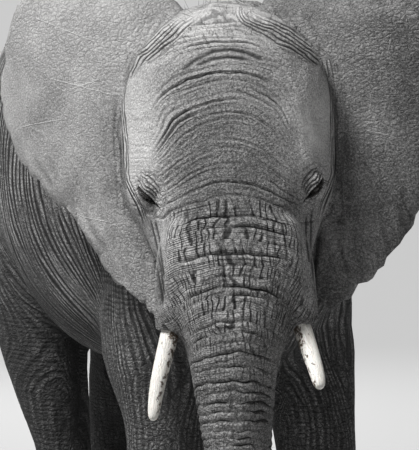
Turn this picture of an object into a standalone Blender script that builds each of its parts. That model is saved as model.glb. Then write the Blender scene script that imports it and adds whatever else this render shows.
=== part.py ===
"""African bush elephant: a life-size still model of a grown cow.

It stands with its head turned to its own right, its ears half spread and its trunk
hanging.  Metres, +Z up.  The animal's body lies along Y with its tail at +Y, its
left side is +X, and its soles stand on z = 0.

Every body mass is lofted from a short table of stations, the masses are fused into
one skin, a few soft swellings and hollows are pressed into it, and the whole is then
parted by thin cuts into the pieces that have names.
"""

import math

import bmesh
import bpy
import numpy as np
from mathutils import Matrix, Vector

# ---- driving sizes -------------------------------------------------------------
cut_gap = 0.0004  # width of the cuts that part one piece from the next
rim_weld = 0.020  # points closer than this along a cut's edge become one
weld_distance = 0.00005  # slivers shorter than this are closed up
skin_voxel = 0.021  # grain at which the masses are fused
skin_smoothing = 7  # rounds of smoothing over the joins of the masses
flesh_triangles = 3800  # of the fused skin, before it is parted
face_detail = 0.05  # how much finer the head stays than the body, 0 to 1
face_weight = 0.75  # thinning weight inside head_limits; the body's is 1
head_limits = {"back": 0.5, "low": -0.75, "floor": 0.9}  # head's frame, floor in the world's
ring_sides = 36  # points round each loft ring
stations_per_step = 6  # rings lofted between two stations of a table
sharp_edge = math.radians(50)  # edges bent more than this are drawn sharp

head_turn = math.radians(28)  # to the animal's right
head_roll = math.radians(2.4)  # its right side lower
eye_height = 1.797
head_place = Vector((-0.435, -0.706, eye_height))  # midway between the eyes
eye_radius = 0.022
eye_place = Vector((0.299, 0.012, 0.0))  # of the left eye, in the head's frame

fore_foot_x = 0.28
hind_foot_x = 0.215
foot_y = {"fore": {"left": -0.12, "right": 0.12}, "hind": {"left": 1.70, "right": 1.18}}
shoulder = Vector((0.29, 0.03))
hip = Vector((0.27, 1.52))

tail_root = Vector((0.0, 1.99, 2.10))
tail_length = 1.00
tail_swing = 0.15  # how far it stands off behind the rump
tail_sway = 0.03  # to and fro sideways
tail_radii = (0.050, 0.017)
tail_sides, tail_rows = 8, 11
brush_length = 0.30
brush_start = 0.95  # share of the tail's length
brush_half_width = (0.012, 0.016)  # at its ends, and how much more in its middle
brush_half_depth = (0.008, 0.030)
brush_rows = 7

nail_size = {"fore": (0.100, 0.085, 0.034), "hind": (0.092, 0.080, 0.034)}
nail_depth = 0.005  # how far the middle of its thickness lies inside the foot
nail_spread = {"fore": math.radians(150), "hind": math.radians(115)}
nail_floor_gap = 0.006
nail_taper = 0.18  # how much smaller the outermost nails are, over the whole spread
nail_grid = (7, 4)  # segments round and along a nail
eye_grid = (10, 6)
tusk_sides, tusk_steps = 10, 2
leg_fullness = 2.15  # of a leg's ring, 2 is an ellipse
jaw_lean = Vector((0, -0.35, 1))  # up, in a jaw ring's plane

# Where the thin cuts go.
up = Vector((0, 0, 1))
leg_top = 0.955
foot_top = 0.17
tip_top = 0.46  # of the trunk's last length
barrel_front = 0.36
rump_front = 1.12
neck_base = (Vector((0, -0.265, 1.8)), Vector((-0.17, -0.985, 0)))
chest_plane = (Vector((0, -0.30, 1.24)), Vector((0, 0.25, -0.97)))
# In the head's frame.
head_planes = {
    "nape": ((0, 0.36, 0), (0, -1, 0)),
    "mouth": ((0, 0.06, -0.53), (0, 0.40, -0.917)),
}
nail_counts = {"fore": 4, "hind": 3}
# Somewhere inside each piece that plane cuts leave with others, in the head's frame.
inside = {
    "trunk_lower": Vector((0, -0.1, -1.2)),
    "trunk_upper": Vector((0, -0.13, -0.7)),
    "jaw": Vector((0, 0.3, -0.45)),
}

skin_colour = (0.23, 0.225, 0.215)
nail_colour = (0.42, 0.39, 0.34)
ivory_colour = (0.86, 0.83, 0.76)
eye_colour = (0.05, 0.035, 0.025)
hair_colour = (0.03, 0.028, 0.026)

sides = {"left": 1, "right": -1}

# A torso station: y, top, height of the widest point, bottom, half width, and the
# fullness of its upper and lower halves (2 is an ellipse, more is squarer).
torso_stations = [
    (-0.42, 2.20, 1.84, 1.46, 0.20, 2.0, 2.0),
    (-0.32, 2.40, 1.80, 1.20, 0.33, 2.1, 2.1),
    (-0.05, 2.52, 1.74, 1.04, 0.42, 2.1, 2.2),
    (0.30, 2.51, 1.68, 1.00, 0.52, 2.1, 2.2),
    (0.65, 2.49, 1.62, 0.98, 0.59, 2.1, 2.1),
    (0.95, 2.51, 1.62, 0.98, 0.60, 2.1, 1.9),
    (1.25, 2.58, 1.72, 1.02, 0.56, 2.3, 1.6),
    (1.55, 2.56, 1.80, 1.14, 0.50, 2.4, 1.8),
    (1.82, 2.40, 1.84, 1.34, 0.41, 2.3, 2.0),
    (1.99, 2.18, 1.84, 1.55, 0.26, 2.0, 2.0),
    (2.06, 2.00, 1.84, 1.70, 0.11, 2.0, 2.0),
]

# A neck station: x, y, height, half width, rise, drop, turn in degrees.
neck_stations = [
    (0.00, 0.20, 1.80, 0.42, 0.70, 0.62, 0),
    (-0.04, -0.06, 1.80, 0.38, 0.70, 0.58, 8),
    (-0.12, -0.24, 1.84, 0.34, 0.63, 0.52, 18),
    (-0.22, -0.42, 1.90, 0.31, 0.53, 0.46, 28),
]

# A head station, in the head's frame: height, half width, front, widest, back, fullness.
head_stations = [
    (0.700, 0.030, 0.34, 0.40, 0.47, 2.0),
    (0.685, 0.110, 0.255, 0.39, 0.56, 2.0),
    (0.640, 0.200, 0.160, 0.36, 0.63, 2.0),
    (0.550, 0.300, 0.070, 0.32, 0.67, 2.1),
    (0.450, 0.362, 0.012, 0.30, 0.67, 2.1),
    (0.330, 0.393, -0.035, 0.28, 0.65, 2.1),
    (0.200, 0.402, -0.075, 0.26, 0.61, 2.1),
    (0.080, 0.393, -0.108, 0.25, 0.57, 2.1),
    (-0.020, 0.375, -0.140, 0.24, 0.54, 2.0),
    (-0.110, 0.338, -0.172, 0.20, 0.48, 2.0),
    (-0.200, 0.300, -0.205, 0.12, 0.40, 2.3),
    (-0.300, 0.262, -0.236, 0.02, 0.29, 2.6),
    (-0.400, 0.232, -0.258, -0.05, 0.17, 2.6),
    (-0.480, 0.200, -0.270, -0.09, 0.09, 2.3),
    (-0.545, 0.172, -0.274, -0.12, 0.020, 2.1),
]

# A trunk station, in the head's frame: across, back, height, half width, half depth.
trunk_stations = [
    (-0.006, -0.110, -0.480, 0.198, 0.162),
    (-0.008, -0.122, -0.540, 0.180, 0.152),
    (-0.014, -0.132, -0.620, 0.160, 0.144),
    (-0.018, -0.140, -0.720, 0.143, 0.136),
    (-0.016, -0.142, -0.860, 0.127, 0.124),
    (-0.010, -0.140, -1.050, 0.112, 0.110),
    (-0.004, -0.128, -1.250, 0.096, 0.094),
    (0.000, -0.100, -1.420, 0.081, 0.079),
    (0.002, -0.045, -1.545, 0.069, 0.066),
    (0.000, 0.040, -1.612, 0.060, 0.056),
    (-0.002, 0.130, -1.610, 0.055, 0.050),
    (-0.003, 0.195, -1.580, 0.053, 0.047),
]

# A jaw station, in the head's frame: back, height, half width, rise, drop.
jaw_stations = [
    (0.56, -0.20, 0.20, 0.20, 0.18),
    (0.43, -0.27, 0.225, 0.20, 0.17),
    (0.33, -0.345, 0.180, 0.16, 0.14),
    (0.26, -0.42, 0.125, 0.11, 0.105),
    (0.205, -0.50, 0.088, 0.070, 0.075),
    (0.170, -0.56, 0.050, 0.045, 0.045),
]

# A tusk-sheath station, in the head's frame: out, back, height, radius.
sheath_stations = [
    (0.150, -0.060, -0.120, 0.110),
    (0.178, -0.100, -0.250, 0.104),
    (0.205, -0.100, -0.360, 0.086),
    (0.228, -0.098, -0.440, 0.066),
    (0.240, -0.096, -0.492, 0.052),
]

# The line of each tusk, from its buried root to its tip, in the head's frame: out, back,
# height and radius.
tusk_lines = {
    "left": [
        (0.200, -0.060, -0.370, 0.036),
        (0.226, -0.100, -0.470, 0.036),
        (0.250, -0.160, -0.555, 0.034),
        (0.270, -0.235, -0.630, 0.029),
        (0.277, -0.285, -0.670, 0.023),
        (0.278, -0.300, -0.683, 0.012),
    ],
    "right": [
        (0.215, -0.060, -0.380, 0.036),
        (0.236, -0.100, -0.480, 0.036),
        (0.262, -0.145, -0.570, 0.034),
        (0.290, -0.200, -0.670, 0.029),
        (0.305, -0.245, -0.755, 0.022),
        (0.307, -0.258, -0.778, 0.011),
    ],
}

# A leg station: height, share of the way from foot to body joint, shift back,
# half width, reach forward, reach back.
fore_leg_stations = [
    (-0.04, 0.00, -0.010, 0.160, 0.180, 0.160),
    (0.05, 0.00, -0.010, 0.180, 0.203, 0.176),
    (0.14, 0.00, 0.000, 0.166, 0.178, 0.165),
    (0.28, 0.00, 0.010, 0.143, 0.146, 0.146),
    (0.42, 0.00, 0.010, 0.136, 0.138, 0.142),
    (0.56, 0.00, 0.000, 0.150, 0.155, 0.150),
    (0.72, 0.03, 0.000, 0.157, 0.160, 0.160),
    (0.84, 0.12, 0.010, 0.163, 0.165, 0.185),
    (0.96, 0.30, 0.030, 0.190, 0.180, 0.260),
    (1.10, 0.55, 0.050, 0.215, 0.200, 0.360),
    (1.30, 0.90, 0.050, 0.220, 0.230, 0.380),
    (1.55, 1.00, 0.020, 0.200, 0.260, 0.360),
    (1.80, 1.05, 0.000, 0.110, 0.230, 0.240),
]
hind_leg_stations = [
    (-0.04, 0.00, -0.020, 0.136, 0.176, 0.146),
    (0.05, 0.00, -0.020, 0.152, 0.197, 0.162),
    (0.14, 0.00, -0.010, 0.138, 0.162, 0.150),
    (0.28, 0.02, 0.010, 0.118, 0.125, 0.135),
    (0.42, 0.08, 0.020, 0.114, 0.118, 0.138),
    (0.56, 0.20, 0.010, 0.120, 0.130, 0.152),
    (0.72, 0.42, -0.010, 0.145, 0.170, 0.185),
    (0.90, 0.65, -0.030, 0.172, 0.215, 0.235),
    (1.10, 0.85, -0.030, 0.188, 0.255, 0.290),
    (1.35, 1.00, 0.000, 0.200, 0.290, 0.330),
    (1.65, 1.05, 0.020, 0.195, 0.300, 0.320),
    (1.95, 1.20, 0.040, 0.130, 0.240, 0.260),
]

leg_stations = {"fore": fore_leg_stations, "hind": hind_leg_stations}

# The right ear's root on the head, from the nape round to the lobe, in the head's
# frame: out, back, height.
ear_root = [
    (0.100, 0.480, 0.600),
    (0.250, 0.400, 0.530),
    (0.345, 0.330, 0.420),
    (0.372, 0.300, 0.280),
    (0.370, 0.290, 0.140),
    (0.350, 0.280, 0.020),
    (0.310, 0.260, -0.080),
    (0.265, 0.235, -0.170),
    (0.225, 0.215, -0.240),
]
# Its free rim, from the nape over the top and down to the lobe: out, back, height, and
# how far that place follows when the ear swings.
ear_rim = [
    (0.150, 0.560, 0.700, 0.0),
    (0.330, 0.640, 0.825, 0.3),
    (0.560, 0.670, 0.870, 0.7),
    (0.780, 0.720, 0.780, 1.0),
    (0.870, 0.770, 0.560, 1.0),
    (0.885, 0.780, 0.330, 1.0),
    (0.820, 0.720, 0.110, 1.0),
    (0.665, 0.590, -0.050, 1.0),
    (0.560, 0.480, -0.180, 1.0),
    (0.450, 0.350, -0.345, 1.0),
    (0.345, 0.240, -0.425, 1.0),
    (0.275, 0.180, -0.462, 1.0),
    (0.235, 0.180, -0.380, 1.0),
]
ear_hinge = Vector((0.36, 0.27, 0.20))  # the ear swings and lifts about this place
ear_swing = {"left": math.radians(36), "right": 0.0}  # forward
ear_lift = {"left": math.radians(11), "right": 0.0}  # lobe outward
ear_rows = 20  # quads along the rim
ear_columns = 5  # quads from root to rim
ear_thickness = (0.036, 0.014)  # at the root and at the rim
ear_belly = 0.050  # how far the fan bulges forward between root and rim

# Soft swellings (+) and hollows (-) of the left half of the head; both sides get them.
# Name: place in the head's frame, reach, height.
head_forms = {
    "brow": ((0.300, -0.030, 0.085), 0.060, 0.016),
    "eye socket": ((0.312, -0.008, 0.000), 0.050, -0.016),
    "under the eye": ((0.262, -0.065, -0.120), 0.075, -0.014),
    "cheekbone": ((0.365, 0.120, -0.030), 0.075, 0.012),
    "temple": ((0.385, 0.110, 0.230), 0.110, -0.020),
    "temple line": ((0.270, -0.010, 0.300), 0.085, 0.010),
    "root of the trunk": ((0.100, -0.190, -0.170), 0.110, 0.008),
    "bridge": ((0.000, -0.120, 0.060), 0.130, -0.005),
    "behind the tusk": ((0.235, 0.060, -0.400), 0.080, -0.020),
}


# ---- small tools -----------------------------------------------------------------
def clear_scene():
    for obj in list(bpy.data.objects):
        bpy.data.objects.remove(obj)


def make_material(name, colour, roughness):
    material = bpy.data.materials.new(name)
    material.use_nodes = True
    shader = material.node_tree.nodes["Principled BSDF"]
    shader.inputs["Base Color"].default_value = (*colour, 1)
    shader.inputs["Roughness"].default_value = roughness
    return material


def add_object(name, bm, material=None):
    """Turns a bmesh into an object of the scene."""
    bmesh.ops.recalc_face_normals(bm, faces=bm.faces)
    mesh = bpy.data.meshes.new(name)
    bm.to_mesh(mesh)
    bm.free()
    if material:
        mesh.materials.append(material)
    obj = bpy.data.objects.new(name, mesh)
    bpy.context.scene.collection.objects.link(obj)
    return obj


def evaluated(obj):
    """A copy of the object's mesh with its modifiers applied."""
    graph = bpy.context.evaluated_depsgraph_get()
    return bpy.data.meshes.new_from_object(obj.evaluated_get(graph), depsgraph=graph)


def bake_modifiers(obj):
    mesh = evaluated(obj)
    obj.modifiers.clear()
    obj.data = mesh
    return obj


def spread(stations, steps):
    """Rows on a smooth curve through the stations, with `steps` rows to each gap."""
    keys = np.array(stations, float)
    before = np.vstack([2 * keys[0] - keys[1], keys[:-1]])
    after = np.vstack([keys[1:], 2 * keys[-1] - keys[-2]])
    slopes = (after - before) / 2
    rows = []
    for a, b, slope_a, slope_b in zip(keys[:-1], keys[1:], slopes[:-1], slopes[1:]):
        for t in np.linspace(0, 1, steps, endpoint=False):
            rows.append(
                (2 * t**3 - 3 * t**2 + 1) * a
                + (t**3 - 2 * t**2 + t) * slope_a
                + (3 * t**2 - 2 * t**3) * b
                + (t**3 - t**2) * slope_b
            )
    rows.append(keys[-1])
    return rows


def ring(centre, across, up, half_width, rise, drop, above=2.0, below=None, count=ring_sides):
    """Points of a closed oval: a superellipse whose upper and lower halves may differ."""
    points = []
    for i in range(count):
        angle = 2 * math.pi * i / count
        c, s = math.cos(angle), math.sin(angle)
        fullness = above if s > 0 or below is None else below
        x = half_width * math.copysign(abs(c) ** (2 / fullness), c)
        z = (rise if s > 0 else drop) * math.copysign(abs(s) ** (2 / fullness), s)
        points.append(Vector(centre) + Vector(across) * x + Vector(up) * z)
    return points


def loft(rings):
    """A closed bmesh skinned over the rings, with flat ends."""
    bm = bmesh.new()
    loops = [[bm.verts.new(point) for point in points] for points in rings]
    for a, b in zip(loops[:-1], loops[1:]):
        for i in range(len(a)):
            j = (i + 1) % len(a)
            bm.faces.new((a[i], a[j], b[j], b[i]))
    bm.faces.new(loops[0])
    bm.faces.new(loops[-1])
    return bm


def head_matrix():
    """Carries the head's frame (left, back, up from between the eyes) to the world."""
    turn = Matrix.Rotation(-head_turn, 4, "Z")
    roll = Matrix.Rotation(head_roll, 4, "Y")
    return Matrix.Translation(head_place) @ turn @ roll.inverted()


def in_head_frame(obj):
    obj.data.transform(head_matrix())
    return obj


# ---- masses of the body --------------------------------------------------------------
def torso_mass():
    rings = []
    for y, top, wide, bottom, half_width, above, below in spread(torso_stations, stations_per_step):
        rings.append(
            ring(
                (0, y, wide), (1, 0, 0), (0, 0, 1), half_width, top - wide, wide - bottom, above, below
            )
        )
    return loft(rings)


def neck_mass():
    rings = []
    for x, y, z, half_width, rise, drop, turn in spread(neck_stations, stations_per_step):
        across = Matrix.Rotation(-math.radians(turn), 3, "Z") @ Vector((1, 0, 0))
        rings.append(ring((x, y, z), across, (0, 0, 1), half_width, rise, drop))
    return loft(rings)


def leg_mass(foot, joint, stations):
    rings = []
    for z, share, back, half_width, ahead, behind in spread(stations, stations_per_step):
        centre = foot.lerp(joint, share)
        rings.append(
            ring(
                (centre.x, centre.y + back, z), (1, 0, 0), (0, 1, 0),
                half_width, behind, ahead, leg_fullness,
            )
        )
    return loft(rings)


def foot_of(leg, side):
    out = fore_foot_x if leg == "fore" else hind_foot_x
    return Vector((sides[side] * out, foot_y[leg][side]))


def joint_of(leg, side):
    place = shoulder if leg == "fore" else hip
    return Vector((sides[side] * place.x, place.y))


def nail_material():
    return bpy.data.materials.get("nail") or make_material("nail", nail_colour, 0.6)


def head_mass():
    rings = []
    for z, half_width, front, wide, back, fullness in spread(head_stations, stations_per_step):
        rings.append(
            ring((0, wide, z), (1, 0, 0), (0, 1, 0), half_width, back - wide, wide - front, fullness)
        )
    return loft(rings)


def path_rings(rows, places, sizes, count=ring_sides):
    """Rings square to a path.  places and sizes pick a row's point and half sizes."""
    points = [Vector(row[places]) for row in rows]
    rings = []
    for i, row in enumerate(rows):
        along = (points[min(i + 1, len(points) - 1)] - points[max(i - 1, 0)]).normalized()
        across = Vector((1, 0, 0))
        up = along.cross(across).normalized()
        half_width, half_depth = row[sizes][0], row[sizes][-1]
        rings.append(ring(points[i], across, up, half_width, half_depth, half_depth, count=count))
    return rings


def trunk_mass():
    rows = spread(trunk_stations, stations_per_step)
    return loft(path_rings(rows, slice(0, 3), slice(3, 5)))


def jaw_mass():
    rings = []
    for back, z, half_width, rise, drop in spread(jaw_stations, stations_per_step):
        rings.append(ring((0, back, z), (1, 0, 0), jaw_lean.normalized(), half_width, rise, drop))
    return loft(rings)


def sheath_mass(sign):
    rows = spread([(sign * out, *rest) for out, *rest in sheath_stations], stations_per_step)
    return loft(path_rings(rows, slice(0, 3), slice(3, 4)))


def tail_mass():
    """The tail hangs from the rump in a slow curve."""
    rows = []
    for t in np.linspace(0, 1, tail_rows):
        back = tail_root.y + tail_swing * math.sin(math.pi * min(1, 1.15 * t)) ** 0.8
        radius = tail_radii[0] * (1 - t) + tail_radii[1] * t
        sway = tail_sway * t * math.sin(3 * t)
        rows.append((sway, back, tail_root.z - tail_length * t, radius))
    return loft(path_rings(rows, slice(0, 3), slice(3, 4), tail_sides))


def tail_brush_mass():
    """The wiry hair at the tail's end, as one flat tapering lock."""
    rows = []
    for t in np.linspace(0, 1, brush_rows):
        swell = math.sin(math.pi * (0.12 + 0.8 * t)) ** 0.7
        drop = brush_start * tail_length + brush_length * t
        half_width, half_depth = (
            thin + more * swell for thin, more in (brush_half_width, brush_half_depth)
        )
        rows.append((0.004, tail_root.y + 0.02 * t, tail_root.z - drop, half_width, half_depth))
    return loft(path_rings(rows, slice(0, 3), slice(3, 5), tail_sides))


def fuse(masses):
    """Joins the closed masses into one skin of even grain."""
    bm = bmesh.new()
    for mass in masses:
        part = bpy.data.meshes.new("mass")
        bmesh.ops.recalc_face_normals(mass, faces=mass.faces)
        mass.to_mesh(part)
        mass.free()
        bm.from_mesh(part)
        bpy.data.meshes.remove(part)
    obj = add_object("flesh", bm)
    remesh = obj.modifiers.new("fuse", "REMESH")
    remesh.mode = "VOXEL"
    remesh.voxel_size = skin_voxel
    smooth = obj.modifiers.new("soften", "SMOOTH")
    smooth.factor = 0.5
    smooth.iterations = skin_smoothing
    return bake_modifiers(obj)


def placed(bm, matrix):
    bmesh.ops.transform(bm, matrix=matrix, verts=bm.verts)
    return bm


def press_forms(obj):
    """Raises and hollows the face where head_forms says, on both sides."""
    to_head = head_matrix().inverted()
    rotation = np.array(to_head.to_3x3())
    mesh = obj.data
    places = np.empty(len(mesh.vertices) * 3)
    mesh.vertices.foreach_get("co", places)
    places = places.reshape(-1, 3)
    normals = np.empty(len(mesh.vertices) * 3, np.float32)
    mesh.vertices.foreach_get("normal", normals)
    normals = normals.reshape(-1, 3)
    local = places @ rotation.T + np.array(to_head.translation)
    for centre, reach, height in head_forms.values():
        for sign in (1, -1):
            middle = np.array(centre) * (sign, 1, 1)
            away = np.linalg.norm(local - middle, axis=1) / reach
            places += normals * (height * np.exp(-(away**2)))[:, None]
            if centre[0] == 0:
                break
    mesh.vertices.foreach_set("co", places.ravel())
    mesh.update()


def thin_out(obj, triangles):
    """Decimates the skin, the head less than the body."""
    to_head = head_matrix().inverted()
    group = obj.vertex_groups.new(name="body")
    for vertex in obj.data.vertices:
        local = to_head @ vertex.co
        in_head = local.y < head_limits["back"] and local.z > head_limits["low"]
        in_head = in_head and vertex.co.z > head_limits["floor"]
        group.add([vertex.index], face_weight if in_head else 1.0, "REPLACE")
    thin = obj.modifiers.new("thin", "DECIMATE")
    thin.ratio = triangles / (2 * len(obj.data.polygons))
    thin.vertex_group = group.name
    thin.vertex_group_factor = face_detail
    thin.use_collapse_triangulate = True
    bake_modifiers(obj)
    obj.vertex_groups.clear()


def make_flesh():
    """The whole animal in one skin, from the crown to the soles, without its ears."""
    to_world = head_matrix()
    masses = [torso_mass(), neck_mass()]
    for leg in leg_stations:
        for side in sides:
            masses.append(leg_mass(foot_of(leg, side), joint_of(leg, side), leg_stations[leg]))
    masses.append(placed(head_mass(), to_world))
    masses.append(placed(trunk_mass(), to_world))
    masses.append(placed(jaw_mass(), to_world))
    masses += [placed(sheath_mass(sign), to_world) for sign in sides.values()]
    obj = fuse(masses)
    press_forms(obj)
    thin_out(obj, flesh_triangles)
    slice_off(obj, Vector((0, 0, 0)), Vector((0, 0, -1)))
    return obj


# ---- parting -----------------------------------------------------------------------
def slice_off(obj, place, normal):
    """Removes what lies beyond a plane, on the side its normal points to, and caps the cut."""
    bm = bmesh.new()
    bm.from_mesh(obj.data)
    cut = bmesh.ops.bisect_plane(
        bm, geom=bm.verts[:] + bm.edges[:] + bm.faces[:], dist=1e-5,
        plane_co=place, plane_no=normal, clear_outer=True,
    )
    rim = [v for v in cut["geom_cut"] if isinstance(v, bmesh.types.BMVert) and v.is_boundary]
    bmesh.ops.remove_doubles(bm, verts=rim, dist=rim_weld)
    bmesh.ops.holes_fill(bm, edges=[e for e in bm.edges if e.is_boundary])
    bmesh.ops.triangulate(bm, faces=bm.faces)
    bm.to_mesh(obj.data)
    bm.free()
    return obj


def copied(obj, name):
    twin = obj.copy()
    twin.data = obj.data.copy()
    twin.name = name
    bpy.context.scene.collection.objects.link(twin)
    return twin


def part_by_plane(obj, name, place, normal):
    """Cuts obj in two with a thin gap; what lies where the normal points gets the name."""
    half_gap = normal.normalized() * (cut_gap / 2)
    beyond = copied(obj, name)
    slice_off(obj, place - half_gap, normal)
    slice_off(beyond, place + half_gap, -normal)
    return beyond


def islands(bm):
    """The separate shells of a bmesh, each as a list of its vertices."""
    left = set(bm.verts)
    shells = []
    while left:
        stack = [left.pop()]
        shell = list(stack)
        while stack:
            for edge in stack.pop().link_edges:
                for vert in edge.verts:
                    if vert in left:
                        left.remove(vert)
                        stack.append(vert)
                        shell.append(vert)
        shells.append(shell)
    return shells


def keep_island(obj, place):
    """Keeps only the shell whose middle lies nearest to a place."""
    bm = bmesh.new()
    bm.from_mesh(obj.data)
    shells = islands(bm)

    def distance(shell):
        middle = sum((vert.co for vert in shell), Vector()) / len(shell)
        return (middle - Vector(place)).length

    nearest = min(shells, key=distance)
    bmesh.ops.delete(bm, geom=[v for s in shells if s is not nearest for v in s], context="VERTS")
    bm.to_mesh(obj.data)
    bm.free()
    return obj


def keep_largest(obj):
    bm = bmesh.new()
    bm.from_mesh(obj.data)
    shells = islands(bm)
    largest = max(shells, key=len)
    bmesh.ops.delete(bm, geom=[v for s in shells if s is not largest for v in s], context="VERTS")
    bm.to_mesh(obj.data)
    bm.free()
    return obj


def swollen(obj, distance):
    """A copy pushed out along its normals, to cut a socket with a gap all round."""
    twin = copied(obj, "cutter")
    bm = bmesh.new()
    bm.from_mesh(twin.data)
    bm.normal_update()
    moves = [(v, v.normal * distance * v.calc_shell_factor()) for v in bm.verts]
    for vert, move in moves:
        vert.co += move
    bm.to_mesh(twin.data)
    bm.free()
    return twin


def cut_away(obj, cutters):
    """Takes the cutters' shapes out of obj and deletes them."""
    for cutter in cutters:
        cut = obj.modifiers.new("cut", "BOOLEAN")
        cut.operation = "DIFFERENCE"
        cut.object = cutter
        bake_modifiers(obj)
        bpy.data.objects.remove(cutter)
    return obj


def finish(obj, material):
    """Welds slivers left by cutting, gives the material and smooth shading."""
    bm = bmesh.new()
    bm.from_mesh(obj.data)
    bmesh.ops.remove_doubles(bm, verts=bm.verts, dist=weld_distance)
    bmesh.ops.triangulate(bm, faces=bm.faces)
    bmesh.ops.dissolve_degenerate(bm, edges=bm.edges, dist=weld_distance)
    bmesh.ops.triangulate(bm, faces=bm.faces)
    bm.to_mesh(obj.data)
    bm.free()
    obj.data.materials.clear()
    obj.data.materials.append(material)
    obj.data.shade_smooth()
    obj.data.set_sharp_from_angle(angle=sharp_edge)


# ---- parts of their own -----------------------------------------------------------------
def swung(place, share, side):
    """Where a place of the rim goes as that side's ear swings forward and lifts."""
    lift = Matrix.Rotation(-ear_lift[side] * share, 3, "Y")
    swing = Matrix.Rotation(-ear_swing[side] * share, 3, "Z")
    return swing @ (lift @ (Vector(place) - ear_hinge)) + ear_hinge


def make_ear(side):
    """A fan between its root on the head and its free rim, thinner towards the rim."""
    roots = spread(ear_root, stations_per_step)
    rims = spread(ear_rim, stations_per_step)

    def pick(rows, share):
        at = share * (len(rows) - 1)
        low = min(int(at), len(rows) - 2)
        return rows[low] * (1 - at + low) + rows[low + 1] * (at - low)

    bm = bmesh.new()
    grid = []
    for i in range(ear_rows + 1):
        share = i / ear_rows
        root, rim = pick(roots, share), pick(rims, share)
        line = []
        inner = Vector(root[:3])
        outer = swung(rim[:3], rim[3], side)
        for j in range(ear_columns + 1):
            t = j / ear_columns
            place = inner.lerp(outer, t)
            place.y -= ear_belly * math.sin(math.pi * t) * math.sin(math.pi * min(1, 0.15 + share))
            line.append(bm.verts.new((sides[side] * place.x, place.y, place.z)))
        grid.append(line)
    for above, below in zip(grid[:-1], grid[1:]):
        for j in range(ear_columns):
            bm.faces.new((above[j], above[j + 1], below[j + 1], below[j]))
    thickness = [
        ear_thickness[0] * (1 - j / ear_columns) + ear_thickness[1] * j / ear_columns
        for j in range(ear_columns + 1)
    ]
    bmesh.ops.recalc_face_normals(bm, faces=bm.faces)
    bm.normal_update()
    fronts = {v: v.co + v.normal * thickness[j] / 2 for row in grid for j, v in enumerate(row)}
    backs = {v: v.co - v.normal * thickness[j] / 2 for row in grid for j, v in enumerate(row)}
    solid = bmesh.new()
    front = [[solid.verts.new(fronts[v]) for v in row] for row in grid]
    back = [[solid.verts.new(backs[v]) for v in row] for row in grid]
    bm.free()
    last = ear_columns
    for i in range(ear_rows):
        for j in range(last):
            solid.faces.new((front[i][j], front[i][j + 1], front[i + 1][j + 1], front[i + 1][j]))
            solid.faces.new((back[i][j], back[i + 1][j], back[i + 1][j + 1], back[i][j + 1]))
        for j in (0, last):
            solid.faces.new((front[i][j], front[i + 1][j], back[i + 1][j], back[i][j]))
    for i in (0, ear_rows):
        for j in range(last):
            solid.faces.new((front[i][j], back[i][j], back[i][j + 1], front[i][j + 1]))
    return in_head_frame(add_object(side + "_ear", solid))


def make_eye(side):
    bm = bmesh.new()
    bmesh.ops.create_uvsphere(bm, u_segments=eye_grid[0], v_segments=eye_grid[1], radius=eye_radius)
    place = Vector((sides[side] * eye_place.x, eye_place.y, eye_place.z))
    bmesh.ops.translate(bm, verts=bm.verts, vec=place)
    return in_head_frame(add_object(side + "_eye", bm))


def make_tusk(side):
    rows = [(sides[side] * out, *rest) for out, *rest in spread(tusk_lines[side], tusk_steps)]
    rings = path_rings(rows, slice(0, 3), slice(3, 4), tusk_sides)
    return in_head_frame(add_object(side + "_tusk", loft(rings)))


def make_nails(leg, side):
    """The broad nails set round the front of a foot."""
    foot = foot_of(leg, side)
    stations = leg_stations[leg]
    _, _, shift, half_width, ahead, _ = stations[1]  # the widest, just above the floor
    count = nail_counts[leg]
    width, height, depth = nail_size[leg]
    nails = []
    for i in range(count):
        angle = nail_spread[leg] * (i / (count - 1) - 0.5)
        size = 1.0 - nail_taper * abs(i / (count - 1) - 0.5)
        out = Vector(
            (math.sin(angle) * (half_width - nail_depth), -math.cos(angle) * (ahead - nail_depth), 0)
        )
        bm = bmesh.new()
        bmesh.ops.create_uvsphere(bm, u_segments=nail_grid[0], v_segments=nail_grid[1], radius=0.5)
        bmesh.ops.scale(bm, verts=bm.verts, vec=(width * size, depth, height * size))
        facing = math.atan2(math.sin(angle) / half_width, math.cos(angle) / ahead)
        bmesh.ops.rotate(bm, verts=bm.verts, matrix=Matrix.Rotation(facing, 3, "Z"))
        lift = nail_floor_gap + height * size / 2
        place = Vector((foot.x + out.x, foot.y + shift + out.y, lift))
        bmesh.ops.translate(bm, verts=bm.verts, vec=place)
        nails.append(add_object(f"{side}_{leg}_nail_{i + 1}", bm))
    return nails


# ---- the animal ---------------------------------------------------------------------
def head_plane(name):
    """A parting plane given in the head's frame, as a world place and normal."""
    place, normal = head_planes[name]
    to_world = head_matrix()
    return to_world @ Vector(place), to_world.to_3x3() @ Vector(normal).normalized()


def part_legs(flesh, skin):
    """Cuts the legs and the lower trunk off below the belly, and the feet off the legs."""
    low = part_by_plane(flesh, "low", Vector((0, 0, leg_top)), Vector((0, 0, -1)))
    for leg in leg_stations:
        for side in sides:
            foot = foot_of(leg, side)
            whole = copied(low, f"{side}_{leg}_leg")
            keep_island(whole, (foot.x, foot.y, leg_top / 2))
            sole = part_by_plane(whole, f"{side}_{leg}_foot", Vector((0, 0, foot_top)), -up)
            nails = make_nails(leg, side)
            for nail in nails:
                cut_away(nail, [swollen(sole, cut_gap)])
                keep_largest(nail)
            for obj in (whole, sole):
                finish(obj, skin)
            for nail in nails:
                finish(nail, nail_material())
    trunk = keep_island(low, head_matrix() @ inside["trunk_lower"])
    trunk.name = "trunk_lower"
    return trunk


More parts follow.
